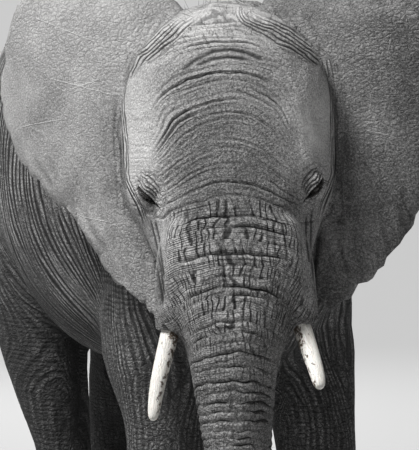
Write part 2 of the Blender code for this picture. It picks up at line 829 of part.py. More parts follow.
def stand_on_origin():
    """Shifts the animal so that its box stands on the floor over the origin."""
    corners = [Vector(c) for obj in bpy.data.objects for c in obj.bound_box]
    low = Vector(min(c[i] for c in corners) for i in range(3))
    high = Vector(max(c[i] for c in corners) for i in range(3))
    shift = Vector((-(low.x + high.x) / 2, -(low.y + high.y) / 2, -low.z))
    for obj in bpy.data.objects:
        obj.data.transform(Matrix.Translation(shift))


def build_all():
    clear_scene()
    skin = make_material("hide", skin_colour, 0.85)
    ivory = make_material("ivory", ivory_colour, 0.35)
    eye_finish = make_material("eye", eye_colour, 0.05)
    hair = make_material("tail_hair", hair_colour, 0.6)
    flesh = make_flesh()
    flesh.name = "shoulders"

    ears = {side: make_ear(side) for side in sides}
    for ear in ears.values():
        cut_away(ear, [swollen(flesh, cut_gap)])
        keep_largest(ear)
    tail = add_object("tail", tail_mass())
    cut_away(tail, [swollen(flesh, cut_gap)])
    keep_largest(tail)
    brush = add_object("tail_brush", tail_brush_mass())
    cut_away(tail, [swollen(brush, cut_gap)])

    trunk_lower = part_legs(flesh, skin)
    trunk_tip = part_by_plane(trunk_lower, "trunk_tip", Vector((0, 0, tip_top)), -up)
    neck = part_by_plane(flesh, "neck", *neck_base)
    head = part_by_plane(neck, "head", *head_plane("nape"))
    chest = part_by_plane(neck, "chest", *chest_plane)
    jaw = part_by_plane(head, "jaw", *head_plane("mouth"))
    trunk = keep_island(copied(jaw, "trunk_upper"), head_matrix() @ inside["trunk_upper"])
    keep_island(jaw, head_matrix() @ inside["jaw"])
    rump = part_by_plane(flesh, "rump", Vector((0, rump_front, 0)), Vector((0, 1, 0)))
    barrel = part_by_plane(flesh, "barrel", Vector((0, barrel_front, 0)), Vector((0, 1, 0)))

    for side in sides:
        eye, tusk = make_eye(side), make_tusk(side)
        cut_away(head, [swollen(eye, cut_gap), swollen(tusk, cut_gap)])
        finish(eye, eye_finish)
        finish(tusk, ivory)
        finish(ears[side], skin)
    for obj in (flesh, rump, barrel, chest, neck, head, jaw, trunk, trunk_lower, trunk_tip, tail):
        finish(obj, skin)
    finish(brush, hair)
    stand_on_origin()


build_all()
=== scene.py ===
import math

import bmesh
import bpy
import numpy as np
from mathutils import Matrix, Vector
from mathutils.bvhtree import BVHTree


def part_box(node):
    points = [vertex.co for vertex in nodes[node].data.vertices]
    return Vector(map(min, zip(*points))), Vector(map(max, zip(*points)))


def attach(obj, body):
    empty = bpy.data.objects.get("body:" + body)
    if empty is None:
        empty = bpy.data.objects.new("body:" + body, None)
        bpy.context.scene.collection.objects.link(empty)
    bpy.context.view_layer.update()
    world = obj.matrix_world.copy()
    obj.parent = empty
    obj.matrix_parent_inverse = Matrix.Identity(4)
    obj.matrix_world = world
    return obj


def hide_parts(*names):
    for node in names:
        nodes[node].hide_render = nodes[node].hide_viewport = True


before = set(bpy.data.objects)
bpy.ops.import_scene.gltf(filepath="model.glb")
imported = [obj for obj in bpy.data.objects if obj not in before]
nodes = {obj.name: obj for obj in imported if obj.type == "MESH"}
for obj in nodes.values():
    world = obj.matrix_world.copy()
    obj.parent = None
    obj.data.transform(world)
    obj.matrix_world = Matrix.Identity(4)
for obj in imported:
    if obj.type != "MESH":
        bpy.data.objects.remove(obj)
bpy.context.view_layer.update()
scene = bpy.context.scene
sides = ("left", "right")
print("solids loaded:", len(nodes))

# The head's own frame: out to the animal's left, back, up, from midway between the eyes
headFrame = {"eyeDepth": 0.012, "eyeRadius": 0.022}
eyeMiddles = {s: (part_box(s + "_eye")[0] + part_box(s + "_eye")[1]) / 2 for s in sides}
headOut = (eyeMiddles["left"] - eyeMiddles["right"]).normalized()
headUp = (Vector((0, 0, 1)) - headOut * headOut.z).normalized()
headBack = headUp.cross(headOut)
headMiddle = (eyeMiddles["left"] + eyeMiddles["right"]) / 2 - headBack * headFrame["eyeDepth"]
headAxes = np.array([headOut, headBack, headUp])


def toHead(places):
    return (places - np.array(headMiddle)) @ headAxes.T


def fromHead(places):
    return places @ headAxes + np.array(headMiddle)


# Camera, lamps and floor. Lamps stand to the side of, ahead of and above what they aim at.
camera = {"distance": 7.5, "aside": 0.0774, "rise": 0.3277, "dip": 3.43, "lens": 166.64, "sensor": 36,
          "clip": (0.1, 200)}
studio = {"world": 0.1, "backdrop": 0.6, "floorShade": 0.36, "floorRoughness": 0.9, "floorSize": 60.0,
          "aimDrop": 0.2, "sunPower": 5.8, "sunAngle": 24.0, "sunFrom": (-4.0, -1.9, 6.8),
          "fillPower": 26.0, "fillFrom": (4.0, -6.0, 1.2), "lampSize": 3.0,
          "backPower": 200.0, "backPlace": (2.5, 6.5, 4.5), "backAim": (0, 0.5, 1.4)}


def turnTowards(item, way):
    item.rotation_mode = "QUATERNION"
    item.rotation_quaternion = Vector(way).to_track_quat("-Z", "Y")


def addCamera():
    flat = Vector((headBack.x, headBack.y, 0)).normalized()
    side = Vector((flat.y, -flat.x, 0))
    data = bpy.data.cameras.new("camera")
    data.lens, data.sensor_width = camera["lens"], camera["sensor"]
    data.clip_start, data.clip_end = camera["clip"]
    eye = bpy.data.objects.new("camera", data)
    eye.location = headMiddle - flat * camera["distance"] - side * camera["aside"]
    eye.location.z = headMiddle.z + camera["rise"]
    dip = math.radians(camera["dip"])
    turnTowards(eye, flat * math.cos(dip) - Vector((0, 0, math.sin(dip))))
    scene.collection.objects.link(eye)
    scene.camera = eye
    return flat, side


def addLamp(name, kind, place, aim, power, size):
    data = bpy.data.lights.new(name, kind)
    data.energy = power
    if kind == "SUN":
        data.angle = math.radians(size)
    else:
        data.shape, data.size = "DISK", size
    lamp = bpy.data.objects.new(name, data)
    lamp.location = place
    turnTowards(lamp, Vector(aim) - Vector(place))
    scene.collection.objects.link(lamp)


def addWorld():
    world = bpy.data.worlds.new("studio")
    world.use_nodes = True
    tree = world.node_tree
    lamplight = tree.nodes["Background"]
    seen = tree.nodes.new("ShaderNodeBackground")
    for shade, strength in ((lamplight, studio["world"]), (seen, studio["backdrop"])):
        shade.inputs["Strength"].default_value = strength
        shade.inputs["Color"].default_value = (1, 1, 1, 1)
    path = tree.nodes.new("ShaderNodeLightPath")
    both = tree.nodes.new("ShaderNodeMixShader")
    for k, socket in enumerate((path.outputs["Is Camera Ray"], lamplight.outputs[0], seen.outputs[0])):
        tree.links.new(socket, both.inputs[k])
    tree.links.new(both.outputs[0], tree.nodes["World Output"].inputs["Surface"])
    scene.world = world


def addStudio(flat, side):
    addWorld()
    aim = headMiddle - Vector((0, 0, studio["aimDrop"]))
    key, fill = (aim + side * aside + flat * ahead + Vector((0, 0, up))
                 for aside, ahead, up in (studio["sunFrom"], studio["fillFrom"]))
    addLamp("keyLamp", "SUN", key, aim, studio["sunPower"], studio["sunAngle"])
    addLamp("fillLamp", "AREA", fill, aim, studio["fillPower"], studio["lampSize"])
    addLamp("backLamp", "AREA", studio["backPlace"], studio["backAim"], studio["backPower"],
            studio["lampSize"])
    bm = bmesh.new()
    bmesh.ops.create_grid(bm, x_segments=1, y_segments=1, size=studio["floorSize"])
    floor = newObject("floor", bm)
    paint = bpy.data.materials.new("paleFloor")
    paint.use_nodes = True
    shader = paint.node_tree.nodes["Principled BSDF"]
    shader.inputs["Base Color"].default_value = (*[studio["floorShade"]] * 3, 1)
    shader.inputs["Roughness"].default_value = studio["floorRoughness"]
    floor.data.materials.append(paint)
    scene.view_settings.view_transform = "Standard"


def newObject(name, bm):
    mesh = bpy.data.meshes.new(name)
    bm.to_mesh(mesh)
    bm.free()
    made = bpy.data.objects.new(name, mesh)
    scene.collection.objects.link(made)
    return made


def placed(item, cadNames, material):
    # A finished piece is smooth, rides on the body, stands for its solids and takes its slot's finish
    item.data.shade_smooth()
    item.data.materials.append(material)
    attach(item, "root")
    if cadNames:
        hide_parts(*cadNames)


addStudio(*addCamera())
print("camera, lamps and floor placed")

# Skin: one closed hide over every solid of flesh. Grain is the share of detail that thinning leaves
# in a box. The boxes of the head and face are in the head's frame.
skin = {"voxel": 0.0104, "swell": 0.0008, "merge": 0.00002, "stairRounds": 4, "facetRounds": 14,
        "keep": 0.119, "regain": 0.52, "farGrain": 0.32, "earGrain": 0.62, "earMargin": 0.01,
        "sideGrain": 0.66, "sideBox": ((-9, -9, -9), (0, 0.9, 9)),
        "headGrain": 0.62, "headBox": ((-0.46, -9, -1.75), (0.46, 0.3, 0.75)),
        "faceGrain": 1, "faceBox": ((-0.43, -9, -1.1), (0.43, 0.22, 0.66)),
        "refineBox": ((-0.385, -9, -0.82), (0.385, 0.2, 0.6)), "refineRounds": 3, "refineRegain": 0.51,
        "eyePlace": (0.299, 0, 0.008), "eyeReaches": (0.08, 0.056)}
notFlesh = ("eye", "tusk", "nail", "brush")
fleshNames = [n for n in sorted(nodes) if not any(word in n for word in notFlesh)]


def applied(item):
    view = bpy.context.evaluated_depsgraph_get()
    mesh = bpy.data.meshes.new_from_object(item.evaluated_get(view))
    item.modifiers.clear()
    old, item.data = item.data, mesh
    bpy.data.meshes.remove(old)


def mergedCopy(nodeName):
    bm = bmesh.new()
    bm.from_mesh(nodes[nodeName].data)
    bmesh.ops.remove_doubles(bm, verts=bm.verts, dist=skin["merge"])
    return bm


def joinedFlesh():
    whole = bmesh.new()
    for name in fleshNames:
        part = mergedCopy(name)
        part.normal_update()
        for v in part.verts:
            v.co += v.normal * skin["swell"]
        spare = bpy.data.meshes.new("spare")
        part.to_mesh(spare)
        part.free()
        whole.from_mesh(spare)
        bpy.data.meshes.remove(spare)
    return newObject("hide", whole)


def points(item):
    found = np.empty(len(item.data.vertices) * 3)
    item.data.vertices.foreach_get("co", found)
    return found.reshape(-1, 3)


def putPoints(item, places):
    item.data.vertices.foreach_set("co", places.ravel())
    item.data.update()


def normals(item):
    found = np.empty(len(item.data.vertices) * 3)
    item.data.vertex_normals.foreach_get("vector", found)
    return found.reshape(-1, 3)


def backwards():
    # How far the hide turns to the back of the head at each point, -1 where it looks ahead
    return (normals(hide) @ headAxes.T)[:, 1]


def edgeEnds(item):
    found = np.empty(len(item.data.edges) * 2, int)
    item.data.edges.foreach_get("vertices", found)
    return found.reshape(-1, 2)


def soften(values, ends, rounds, amount=0.5, regain=0.0):
    # Averages each value with its neighbours'; regain undoes the shrinking of points
    count = len(values)
    share = np.maximum(np.bincount(ends.ravel(), minlength=count), 1)[:, None]
    a, b = ends.T

    def step(table, k):
        total = np.stack([np.bincount(a, v[b], count) + np.bincount(b, v[a], count) for v in table.T], 1)
        return table + (total / share - table) * k

    table = values.reshape(count, -1)
    for _ in range(rounds):
        table = step(table, amount)
        if regain:
            table = step(table, -regain)
    return table.reshape(values.shape)


def smoothHide(rounds, regain):
    putPoints(hide, soften(points(hide), edgeEnds(hide), rounds, 0.5, regain))


def ownersOf(places):
    # Tells which solid of flesh each point of the skin belongs to
    corners, faces, owner = [], [], []
    for k, name in enumerate(fleshNames):
        mesh = nodes[name].data
        faces += [[len(corners) + i for i in p.vertices] for p in mesh.polygons]
        owner += [k] * len(mesh.polygons)
        corners += [v.co.copy() for v in mesh.vertices]
    tree = BVHTree.FromPolygons(corners, faces)
    return np.array(owner)[[tree.find_nearest(p)[2] for p in places.tolist()]]


def ramp(values, low, high):
    t = np.clip((values - low) / (high - low), 0, 1)
    return t * t * (3 - 2 * t)


def hill(values, middle, width, power=2):
    return np.exp(-((values - middle) / width) ** power)


hide = joinedFlesh()
remesh = hide.modifiers.new("fuse", "REMESH")
remesh.mode = "VOXEL"
remesh.voxel_size = skin["voxel"]
applied(hide)
smoothHide(skin["stairRounds"], skin["regain"])
print("skin fused:", len(hide.data.polygons))

# Line down the middle of the head and trunk, in the head's frame: across, back, up, half width
middleLine = [(0, 1.1, 0.7, 0.85), (0, 0.85, 0.6, 0.74), (0, 0.6, 0.45, 0.6), (0, 0.42, 0.2, 0.5),
              (0, 0.3, 0, 0.44), (0, 0.13, -0.2, 0.34), (0, -0.04, -0.36, 0.24),
              (-0.006, -0.11, -0.48, 0.198), (-0.008, -0.122, -0.54, 0.18),
              (-0.014, -0.132, -0.62, 0.16), (-0.018, -0.14, -0.72, 0.143),
              (-0.016, -0.142, -0.86, 0.127), (-0.01, -0.14, -1.05, 0.112),
              (-0.004, -0.128, -1.25, 0.096), (0, -0.1, -1.42, 0.081),
              (0.002, -0.045, -1.545, 0.069), (0, 0.04, -1.612, 0.06),
              (-0.002, 0.13, -1.61, 0.055), (-0.003, 0.195, -1.58, 0.053)]
curlStart = -1.42
lineSteps, straightSteps = 600, 500


def within(places, low, high):
    return ((places > np.array(low)) & (places < np.array(high))).all(1)


def refine(chosen):
    # Halves each edge whose two ends are chosen
    bm = bmesh.new()
    bm.from_mesh(hide.data)
    edges = [e for e in bm.edges if chosen[e.verts[0].index] and chosen[e.verts[1].index]]
    bmesh.ops.subdivide_edges(bm, edges=edges, cuts=1, use_grid_fill=True)
    bmesh.ops.triangulate(bm, faces=[f for f in bm.faces if len(f.verts) > 3])
    bm.to_mesh(hide.data)
    bm.free()


def lobes(places, size, seed, count=9):
    # Smooth uneven swells about one unit high, a given size across
    dice = np.random.default_rng(seed)
    ways = dice.normal(size=(count, places.shape[1]))
    ways *= (2 * math.pi / size) * dice.uniform(0.6, 1.4, (count, 1)) / \
        np.linalg.norm(ways, axis=1, keepdims=True)
    starts = dice.uniform(0, 2 * math.pi, count)
    return np.sin(places @ ways.T + starts).sum(1) / math.sqrt(count)


def trunkPlace(inHead):
    # How far down the face and trunk each point is, how far round it, 0 at the front, and its half width
    knots = np.arange(len(middleLine))
    fine = np.linspace(0, knots[-1], lineSteps)
    line = np.stack([np.interp(fine, knots, column) for column in np.array(middleLine).T], 1)
    # Above the curl of the tip each point goes with the line's place at its own height
    straight = line[:straightSteps]
    drop = -np.clip(inHead[:, 2], curlStart, None)
    middle = np.stack([np.interp(drop, -straight[:, 2], column) for column in straight.T], 1)
    down = -inHead[:, 2]
    front = np.tile([0.0, -1.0, 0.0], (len(inHead), 1))
    # In the curl of the tip each point goes with the nearest place on the line
    low = inHead[:, 2] < curlStart + 0.02
    curl = line[line[:, 2] < curlStart + 0.03]
    near = ((inHead[low][:, None, :] - curl[None, :, :3]) ** 2).sum(2).argmin(1)
    steps = np.linalg.norm(np.diff(curl[:, :3], axis=0), axis=1)
    tangents = np.gradient(curl[:, :3], axis=0)
    tangents /= np.linalg.norm(tangents, axis=1, keepdims=True)
    middle[low] = curl[near]
    down[low] = np.concatenate([[0], np.cumsum(steps)])[near] - curl[0][2]
    front[low] = np.cross([-1.0, 0, 0], tangents[near])
    off = inHead - middle[:, :3]
    return down, np.arctan2(off[:, 0], (off * front).sum(1)), middle[:, 3]


def nearLine(flat, line):
    # Distance of each point to a drawn line, how far along it lies, on which side, and the line's length
    best = np.full(len(flat), 9.0)
    along, side = np.zeros((2, len(flat)))
    walked = 0.0
    for (ax, az), (bx, bz) in zip(line, line[1:]):
        dx, dz = bx - ax, bz - az
        length = math.hypot(dx, dz)
        px, pz = flat[:, 0] - ax, flat[:, 1] - az
        t = np.clip((px * dx + pz * dz) / length ** 2, 0, 1)
        gap = np.hypot(px - t * dx, pz - t * dz)
        closer = gap < best
        best = np.where(closer, gap, best)
        along = np.where(closer, walked + t * length, along)
        side = np.where(closer, np.sign(px * dz - pz * dx), side)
        walked += length
    return best, along, side, walked


def ended(along, length, start, end):
    # Fades a line in and out at its two ends
    return (ramp(along, 0, start) if start else 1) * (1 - ramp(along, length - end, length))


def groove(gap, width):
    # A crease 1 deep with a soft roll on either side
    t = np.abs(gap) / width
    return -np.exp(-t * t) + 0.22 * hill(t, 2.0, 0.9)


def thinOut():
    at = points(hide)
    inHead = toHead(at)
    grain = np.full(len(at), skin["farGrain"])
    grain[within(at, *skin["sideBox"]) & (normals(hide)[:, 0] < 0.2)] = skin["sideGrain"]
    for side in sides:
        low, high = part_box(side + "_ear")
        margin = skin["earMargin"]
        grain[within(at, np.array(low) - margin, np.array(high) + margin)] = skin["earGrain"]
    grain[within(inHead, *skin["headBox"])] = skin["headGrain"]
    grain[within(inHead, *skin["faceBox"]) & (backwards() < 0.1)] = skin["faceGrain"]
    group = hide.vertex_groups.new(name="grain")
    for level in np.unique(grain):
        group.add(np.nonzero(grain == level)[0].tolist(), float(1 - level), "REPLACE")
    thin = hide.modifiers.new("thin", "DECIMATE")
    thin.ratio = skin["keep"]
    thin.vertex_group = "grain"
    thin.vertex_group_factor = 1.0
    applied(hide)
    hide.vertex_groups.clear()


thinOut()
smoothHide(skin["facetRounds"], skin["regain"])
print("skin thinned:", len(hide.data.polygons))

refine(within(toHead(points(hide)), *skin["refineBox"]) & (backwards() < -0.26))
for reach in skin["eyeReaches"]:
    toEye = toHead(points(hide)) * [[[1, 1, 1]], [[-1, 1, 1]]] - skin["eyePlace"]
    refine(np.linalg.norm(toEye, axis=2).min(0) < reach)
smoothHide(skin["refineRounds"], skin["refineRegain"])
print("face refined:", len(hide.data.polygons))

# Folds of the face and trunk. Each furrow: height at the middle of the face, depth.
folds = {
    "furrows": [(0.612, 0.003), (0.597, 0.0022), (0.577, 0.0034), (0.56, 0.0022), (0.541, 0.003),
                (0.505, 0.0016), (0.478, 0.003), (0.45, 0.002), (0.427, 0.0034), (0.4, 0.002),
                (0.378, 0.004), (0.354, 0.0024), (0.33, 0.004), (0.308, 0.003), (0.286, 0.0036),
                (0.262, 0.002), (0.24, 0.0026), (0.213, 0.0018), (0.188, 0.0022), (0.16, 0.0016),
                (0.135, 0.0022), (0.105, 0.0018), (0.075, 0.0026), (0.037, 0.0062), (-0.01, 0.0058),
                (-0.079, 0.0085), (-0.116, 0.0068), (-0.16, 0.003), (-0.206, 0.009), (-0.247, 0.0056),
                (-0.29, 0.003), (-0.326, 0.009), (-0.352, 0.0054), (-0.4, 0.0034), (-0.442, 0.009),
                (-0.48, 0.0052), (-0.516, 0.0034), (-0.553, 0.0095), (-0.6, 0.005),
                (-0.652, 0.0095), (-0.69, 0.0062), (-0.727, 0.0095), (-0.76, 0.006),
                (-0.792, 0.009), (-0.825, 0.007), (-0.854, 0.0085), (-0.88, 0.0068),
                (-0.908, 0.0085), (-0.93, 0.0066), (-0.955, 0.008), (-0.99, 0.008), (-1.03, 0.007),
                (-1.07, 0.008), (-1.11, 0.006), (-1.15, 0.0075), (-1.19, 0.006),
                (-1.23, 0.007), (-1.27, 0.006), (-1.31, 0.0065), (-1.35, 0.006),
                (-1.39, 0.006), (-1.43, 0.0055), (-1.47, 0.0055), (-1.51, 0.005),
                (-1.55, 0.005), (-1.59, 0.0045), (-1.63, 0.0045), (-1.67, 0.004)],
    "width": 0.0058, "cushion": 0.6, "lean": 1.45,
    "arch": [(0.6, 0.5), (0.5, 1.0), (0.42, 0.9), (0.24, 1.9), (0.14, 2.1), (0.04, 1.6), (-0.06, 0.8),
             (-0.3, 0.9), (-0.45, 1.3), (-0.6, 1.0), (-0.75, 0.7), (-1.00, 0.6), (-1.4, 0.6)],
    # Drawn creases of the face seen from the front: depth, width, then points out and up
    "drawn": [
        (0.0036, 0.004, [(-0.048, -0.176), (-0.04, -0.24), (-0.031, -0.331)]),
        (0.0034, 0.0036, [(-0.007, -0.31), (-0.004, -0.418)]),
        (0.0034, 0.0036, [(0.12, -0.095), (0.122, -0.21)]),
        (0.0034, 0.0036, [(0.143, -0.09), (0.147, -0.24)]),
        (0.0034, 0.0036, [(0.172, -0.085), (0.19, -0.25)]),
        (0.0034, 0.0036, [(0.03, -0.335), (0.085, -0.338), (0.13, -0.35)]),
        (0.0034, 0.005, [(-0.3, -0.075), (-0.282, -0.16), (-0.262, -0.25), (-0.252, -0.36)]),
        (0.0026, 0.0045, [(-0.28, -0.085), (-0.262, -0.18), (-0.248, -0.3)]),
        (0.0034, 0.005, [(0.29, -0.07), (0.284, -0.16), (0.276, -0.25), (0.282, -0.34)]),
        (0.0026, 0.0045, [(0.27, -0.085), (0.262, -0.18), (0.266, -0.27)]),
        (0.003, 0.0085, [(-0.165, 0.436), (-0.115, 0.475), (-0.045, 0.506), (0.02, 0.512), (0.08, 0.496),
                          (0.145, 0.462)]),
        (0.0024, 0.0075, [(-0.12, 0.452), (-0.05, 0.478), (0.01, 0.484), (0.09, 0.47)]),
    ],
    # Bands of folds where the ears join: number, then points out and up and their spacing
    "bands": [
        (4.6, [(-0.112, 0.7, 0.017), (-0.25, 0.595, 0.02), (-0.345, 0.536, 0.021),
               (-0.392, 0.436, 0.017), (-0.402, 0.328, 0.015), (-0.394, 0.148, 0.014),
               (-0.384, 0.04, 0.014), (-0.35, -0.04, 0.014), (-0.305, -0.17, 0.015)]),
        (4.6, [(0.112, 0.65, 0.016), (0.22, 0.595, 0.02), (0.332, 0.536, 0.021),
               (0.395, 0.472, 0.019), (0.406, 0.4, 0.016), (0.404, 0.256, 0.015),
               (0.404, 0.148, 0.015), (0.388, 0.04, 0.015), (0.354, -0.05, 0.015),
               (0.318, -0.16, 0.015)]),
    ],
    # Ridges of the ears: height, width, then points out and up; the head's side stands proud
    "earRidges": [
        (0.014, 0.012, [(-0.472, 0.72), (-0.464, 0.598), (-0.428, 0.508), (-0.403, 0.428)]),
        (0.014, 0.012, [(0.44, 0.72), (0.432, 0.58), (0.415, 0.49), (0.404, 0.41)]),
    ],
    "earGaps": [
        (0.012, 0.009, [(-0.288, -0.19), (-0.284, -0.25), (-0.268, -0.34), (-0.262, -0.4)]),
        (0.012, 0.009, [(0.325, -0.15), (0.316, -0.22), (0.298, -0.31), (0.286, -0.39)]),
    ],
    "earCreases": [
        (0.005, 0.006, [(-0.418, -0.14), (-0.371, -0.144), (-0.331, -0.122)]),
        (0.005, 0.006, [(0.345, -0.128), (0.4, -0.138), (0.446, -0.16)]),
    ],
}


def furrowShare(k, turn):
    # Each furrow fades and wavers along its length, the deep ones least
    steady = min(folds["furrows"][k][1] / 0.009, 1)
    swell = lobes(np.stack([turn * 1.6, np.full(len(turn), k * 1.7)], 1), 1.6, 40 + k, 5)
    return np.clip(0.8 + (1.3 - steady) * 0.9 * swell, 0, 1.5)


def layFurrows(level, turn, kept):
    # The lift of the furrows, and each point's rank among them, their spacing and their depth there
    heights = np.array([h for h, _ in folds["furrows"]])
    bounds = [9.0, *(heights[1:] + heights[:-1]) / 2, -9.0]
    lift, depths = np.zeros((2, len(level)))
    for k, (height, depth) in enumerate(folds["furrows"]):
        mine = (level < bounds[k]) & (level >= bounds[k + 1])
        share = furrowShare(k, turn[mine]) * kept[mine]
        line = groove(level[mine] - height, folds["width"] * (0.75 + depth / 0.018))
        lift[mine] = line * depth * share * folds["cushion"]
        depths[mine] = depth * share * (1.2 if height > 0.05 else 1)
    order = heights[::-1]
    rank = np.interp(level, order, np.arange(len(order)))
    slot = np.clip(np.floor(rank).astype(int), 0, len(order) - 2)
    return lift, np.stack([rank, np.diff(order)[slot], depths], 1)


def layBands(flat, facing, whole):
    # Bands of folds: each point's place across its band, the band's share there, and how far along it is
    band = np.zeros((len(flat), 3))
    closest = np.full(len(flat), 9.0)
    for number, drawn in folds["bands"]:
        line = [(a, b) for a, b, _ in drawn]
        gap, along, side, length = nearLine(flat, line)
        walks = np.concatenate([[0], np.cumsum([math.dist(a, b) for a, b in zip(line, line[1:])])])
        outward = gap * side * (-1 if line[0][0] > 0 else 1)
        spread = np.interp(along, walks, [c for _, _, c in drawn])
        cycle = outward / spread + 0.25 * lobes(np.stack([along, outward], 1), 0.2, 12)
        inner = number * (1 - 0.45 * ramp(along, 0.25, 0.45))
        share = (1 - ramp(cycle, -0.1, 0.25)) * ramp(cycle, -inner, -inner + 1.2) * (gap < 0.12) * \
            (1 - ramp(facing, 0.3, 0.6)) * ended(along, length, 0, 0.12) * whole
        mine = gap < closest
        closest = np.minimum(gap, closest)
        band[mine] = np.stack([cycle + 20, share, along], 1)[mine]
    return band


def layCreases(flat, facing, lines, ends, kept, limit):
    # Drawn creases that fade at their ends: their lift and the shade painted into them
    lift, paintedShade = np.zeros((2, len(flat)))
    for depth, width, line in lines:
        gap, along, _, length = nearLine(flat, line)
        near = (gap < width * 5) & (facing < limit)
        form = near * groove(gap, width) * ended(along, length, *ends) * kept
        lift += form * depth
        paintedShade += np.clip(-form, 0, 1)
    return lift, paintedShade


def layEars(inHead, facing, masks):
    # Creases, ridges, gaps and ripples of the ears: their lift and the shade painted into the creases and
    # gaps
    x, _, z = inHead.T
    flat = inHead[:, [0, 2]]
    lift, dark = layCreases(flat, facing, folds["earCreases"], (0.03, 0.02), masks["whole"], 0.3)
    dark *= 0.7
    for height, width, line in folds["earRidges"]:
        gap, along, side, length = nearLine(flat, line)
        inner = side * (1 if line[0][0] > 0 else -1) * gap
        form = (1 - ramp(inner, -width, width * 0.3)) * np.exp(-gap / 0.07) * ended(along, length, 0, 0.1)
        lift += (facing < 0.3) * form * height * masks["whole"]
    for depth, width, line in folds["earGaps"]:
        gap, along, _, length = nearLine(flat, line)
        form = hill(gap, 0, width) * ended(along, length, 0.06, 0.04)
        form *= (1 - ramp(facing, -0.25, 0.05)) * masks["whole"]
        lift -= form * depth
        dark += form * 1.1
    # Soft ripples of the thin outer parts, running in from the rim, and of the lobes
    thin = masks["ear"] * ramp(np.abs(x), 0.42, 0.6)
    slope = np.abs(x) * 0.8 + z * 0.6
    lift += thin * 0.005 * lobes(np.stack([slope * 6, z - x * 0.2], 1), 0.9, 21)
    lobe = masks["ear"] * (1 - ramp(z, -0.1, 0.1))
    lift += lobe * 0.0055 * lobes(np.stack([x * 6, z], 1), 0.45, 22)
    return lift, dark


def foldFace(inHead, facing, masks):
    x, y, z = inHead.T
    flat = inHead[:, [0, 2]]
    down, turn, reach = trunkPlace(inHead)
    across = np.abs(turn) * reach
    arch = np.interp(-down, *np.array(sorted(folds["arch"])).T) * np.where(turn > 0, folds["lean"], 1)
    level = arch * np.minimum(across, 0.3) ** 2 - down
    level += 0.0035 * lobes(np.stack([turn * 0.3, down], 1), 0.16, 3)
    # The furrows stop at the ears, and above the tusks where the trunk turns away to its sides
    kept = masks["face"] * (1 - ramp(np.abs(x), 0.33, 0.39) * (z > -0.45))
    kept *= 1 - 0.85 * ramp(across, 0.15, 0.21) * (1 - ramp(level, -0.06, 0.02)) * ramp(level, -0.62, -0.46)
    kept *= 1 - ramp(facing, -0.4, -0.05) * ramp(z, -0.72, -0.58)
    # The temples stay smooth beside the arched lines of the forehead
    temple = ramp(np.abs(x + 0.02), 0.19, 0.27) * ramp(z, 0.02, 0.1) * (1 - ramp(z, 0.44, 0.54))
    lift, furrow = layFurrows(level, turn, kept * (1 - 0.8 * temple))
    ahead = masks["face"] * (1 - ramp(facing, -0.32, -0.12))
    rise, paintedShade = layCreases(flat, facing, folds["drawn"], (0.03, 0.03), ahead, 0.1)
    band = layBands(flat, facing, masks["whole"])
    lift = (lift + rise) * (1 - band[:, 1])
    furrow[:, 2] *= 1 - band[:, 1]
    # The bands are seen from the front, and fade where the hide turns aside
    band[:, 1] *= (1 - 0.88 * ramp(facing, -0.2, 0.12)) * (1 - 0.6 * ramp(y, 0.24, 0.36)) * \
        (1 - 0.8 * ramp(z, 0.59, 0.65))
    rise, dark = layEars(inHead, facing, masks)
    return lift + rise, np.clip(paintedShade + dark, 0, 1), turn, reach, level, furrow, band, temple


# Lids: each eye sits in a slit that slants down towards the trunk, under a heavy upper lid.
# Hood: its middle along and up the slit, its widths and its lift. Folds: how far they lie from the slit.
lids = {"forward": 0.8, "slant": {"left": (-0.7, -0.72), "right": (0.7, -0.72)}, "reach": 0.105,
        "slitHalf": 0.05, "openUp": 0.0095, "openDown": 0.0165, "lidOver": 0.0034, "sink": 0.01,
        "hood": (-0.02, 0.03, 0.03, 0.02, 0.017), "upperFolds": (0.012, 0.024, 0.037, 0.052),
        "lowerFolds": (0.013, 0.027, 0.042), "foldDepth": 0.0056, "foldWidth": 0.0032, "rim": 0.0032,
        "domeReach": 2.2, "snap": 0.0017}
lidBall = headFrame["eyeRadius"] + lids["lidOver"]


def eyeSpace(side):
    # The eye's middle, and the ways along its slit, up across it, and straight out of the head
    middle = toHead(np.array([eyeMiddles[side]]))[0]
    near = np.linalg.norm(toHead(points(hide)) - middle, axis=1) < 0.06
    out = (normals(hide) @ headAxes.T)[near].mean(0)
    out = out / np.linalg.norm(out) - [0, lids["forward"], 0]
    out /= np.linalg.norm(out)
    # The slit lies in the skin and shows its slant from the front
    aside, down = lids["slant"][side]
    along = np.array([aside, -(aside * out[0] + down * out[2]) / out[1], down])
    along /= np.linalg.norm(along)
    up = np.cross(out, along)
    return middle, np.stack([along, up * np.sign(up[2]), out])


def lidFolds(a, b, almond):
    # Folds above and below the slit, and a crease out of each corner
    uneven = 0.0016 * lobes(np.stack([a, b * 0.3], 1), 0.05, 31)
    fold = np.zeros(len(a))
    for gap in lids["upperFolds"]:
        line = b + uneven - almond * lids["openUp"] - gap * (1 - 0.3 * ((a + 0.01) / 0.06) ** 2)
        fold += hill(line, 0, lids["foldWidth"]) * (b > 0) * (1 - ramp(np.abs(a + 0.01), 0.036, 0.062))
    for gap in lids["lowerFolds"]:
        line = b + almond * lids["openDown"] + gap * (1 - 0.35 * ((a - 0.01) / 0.06) ** 2)
        fold += 0.4 * hill(line, 0, lids["foldWidth"]) * (b < 0) * (1 - ramp(np.abs(a - 0.012), 0.036, 0.066))
    corner = hill(b, 0, 0.0034) * ramp(np.abs(a), 0.046, 0.052) * (1 - ramp(np.abs(a), 0.062, 0.082))
    return fold, corner


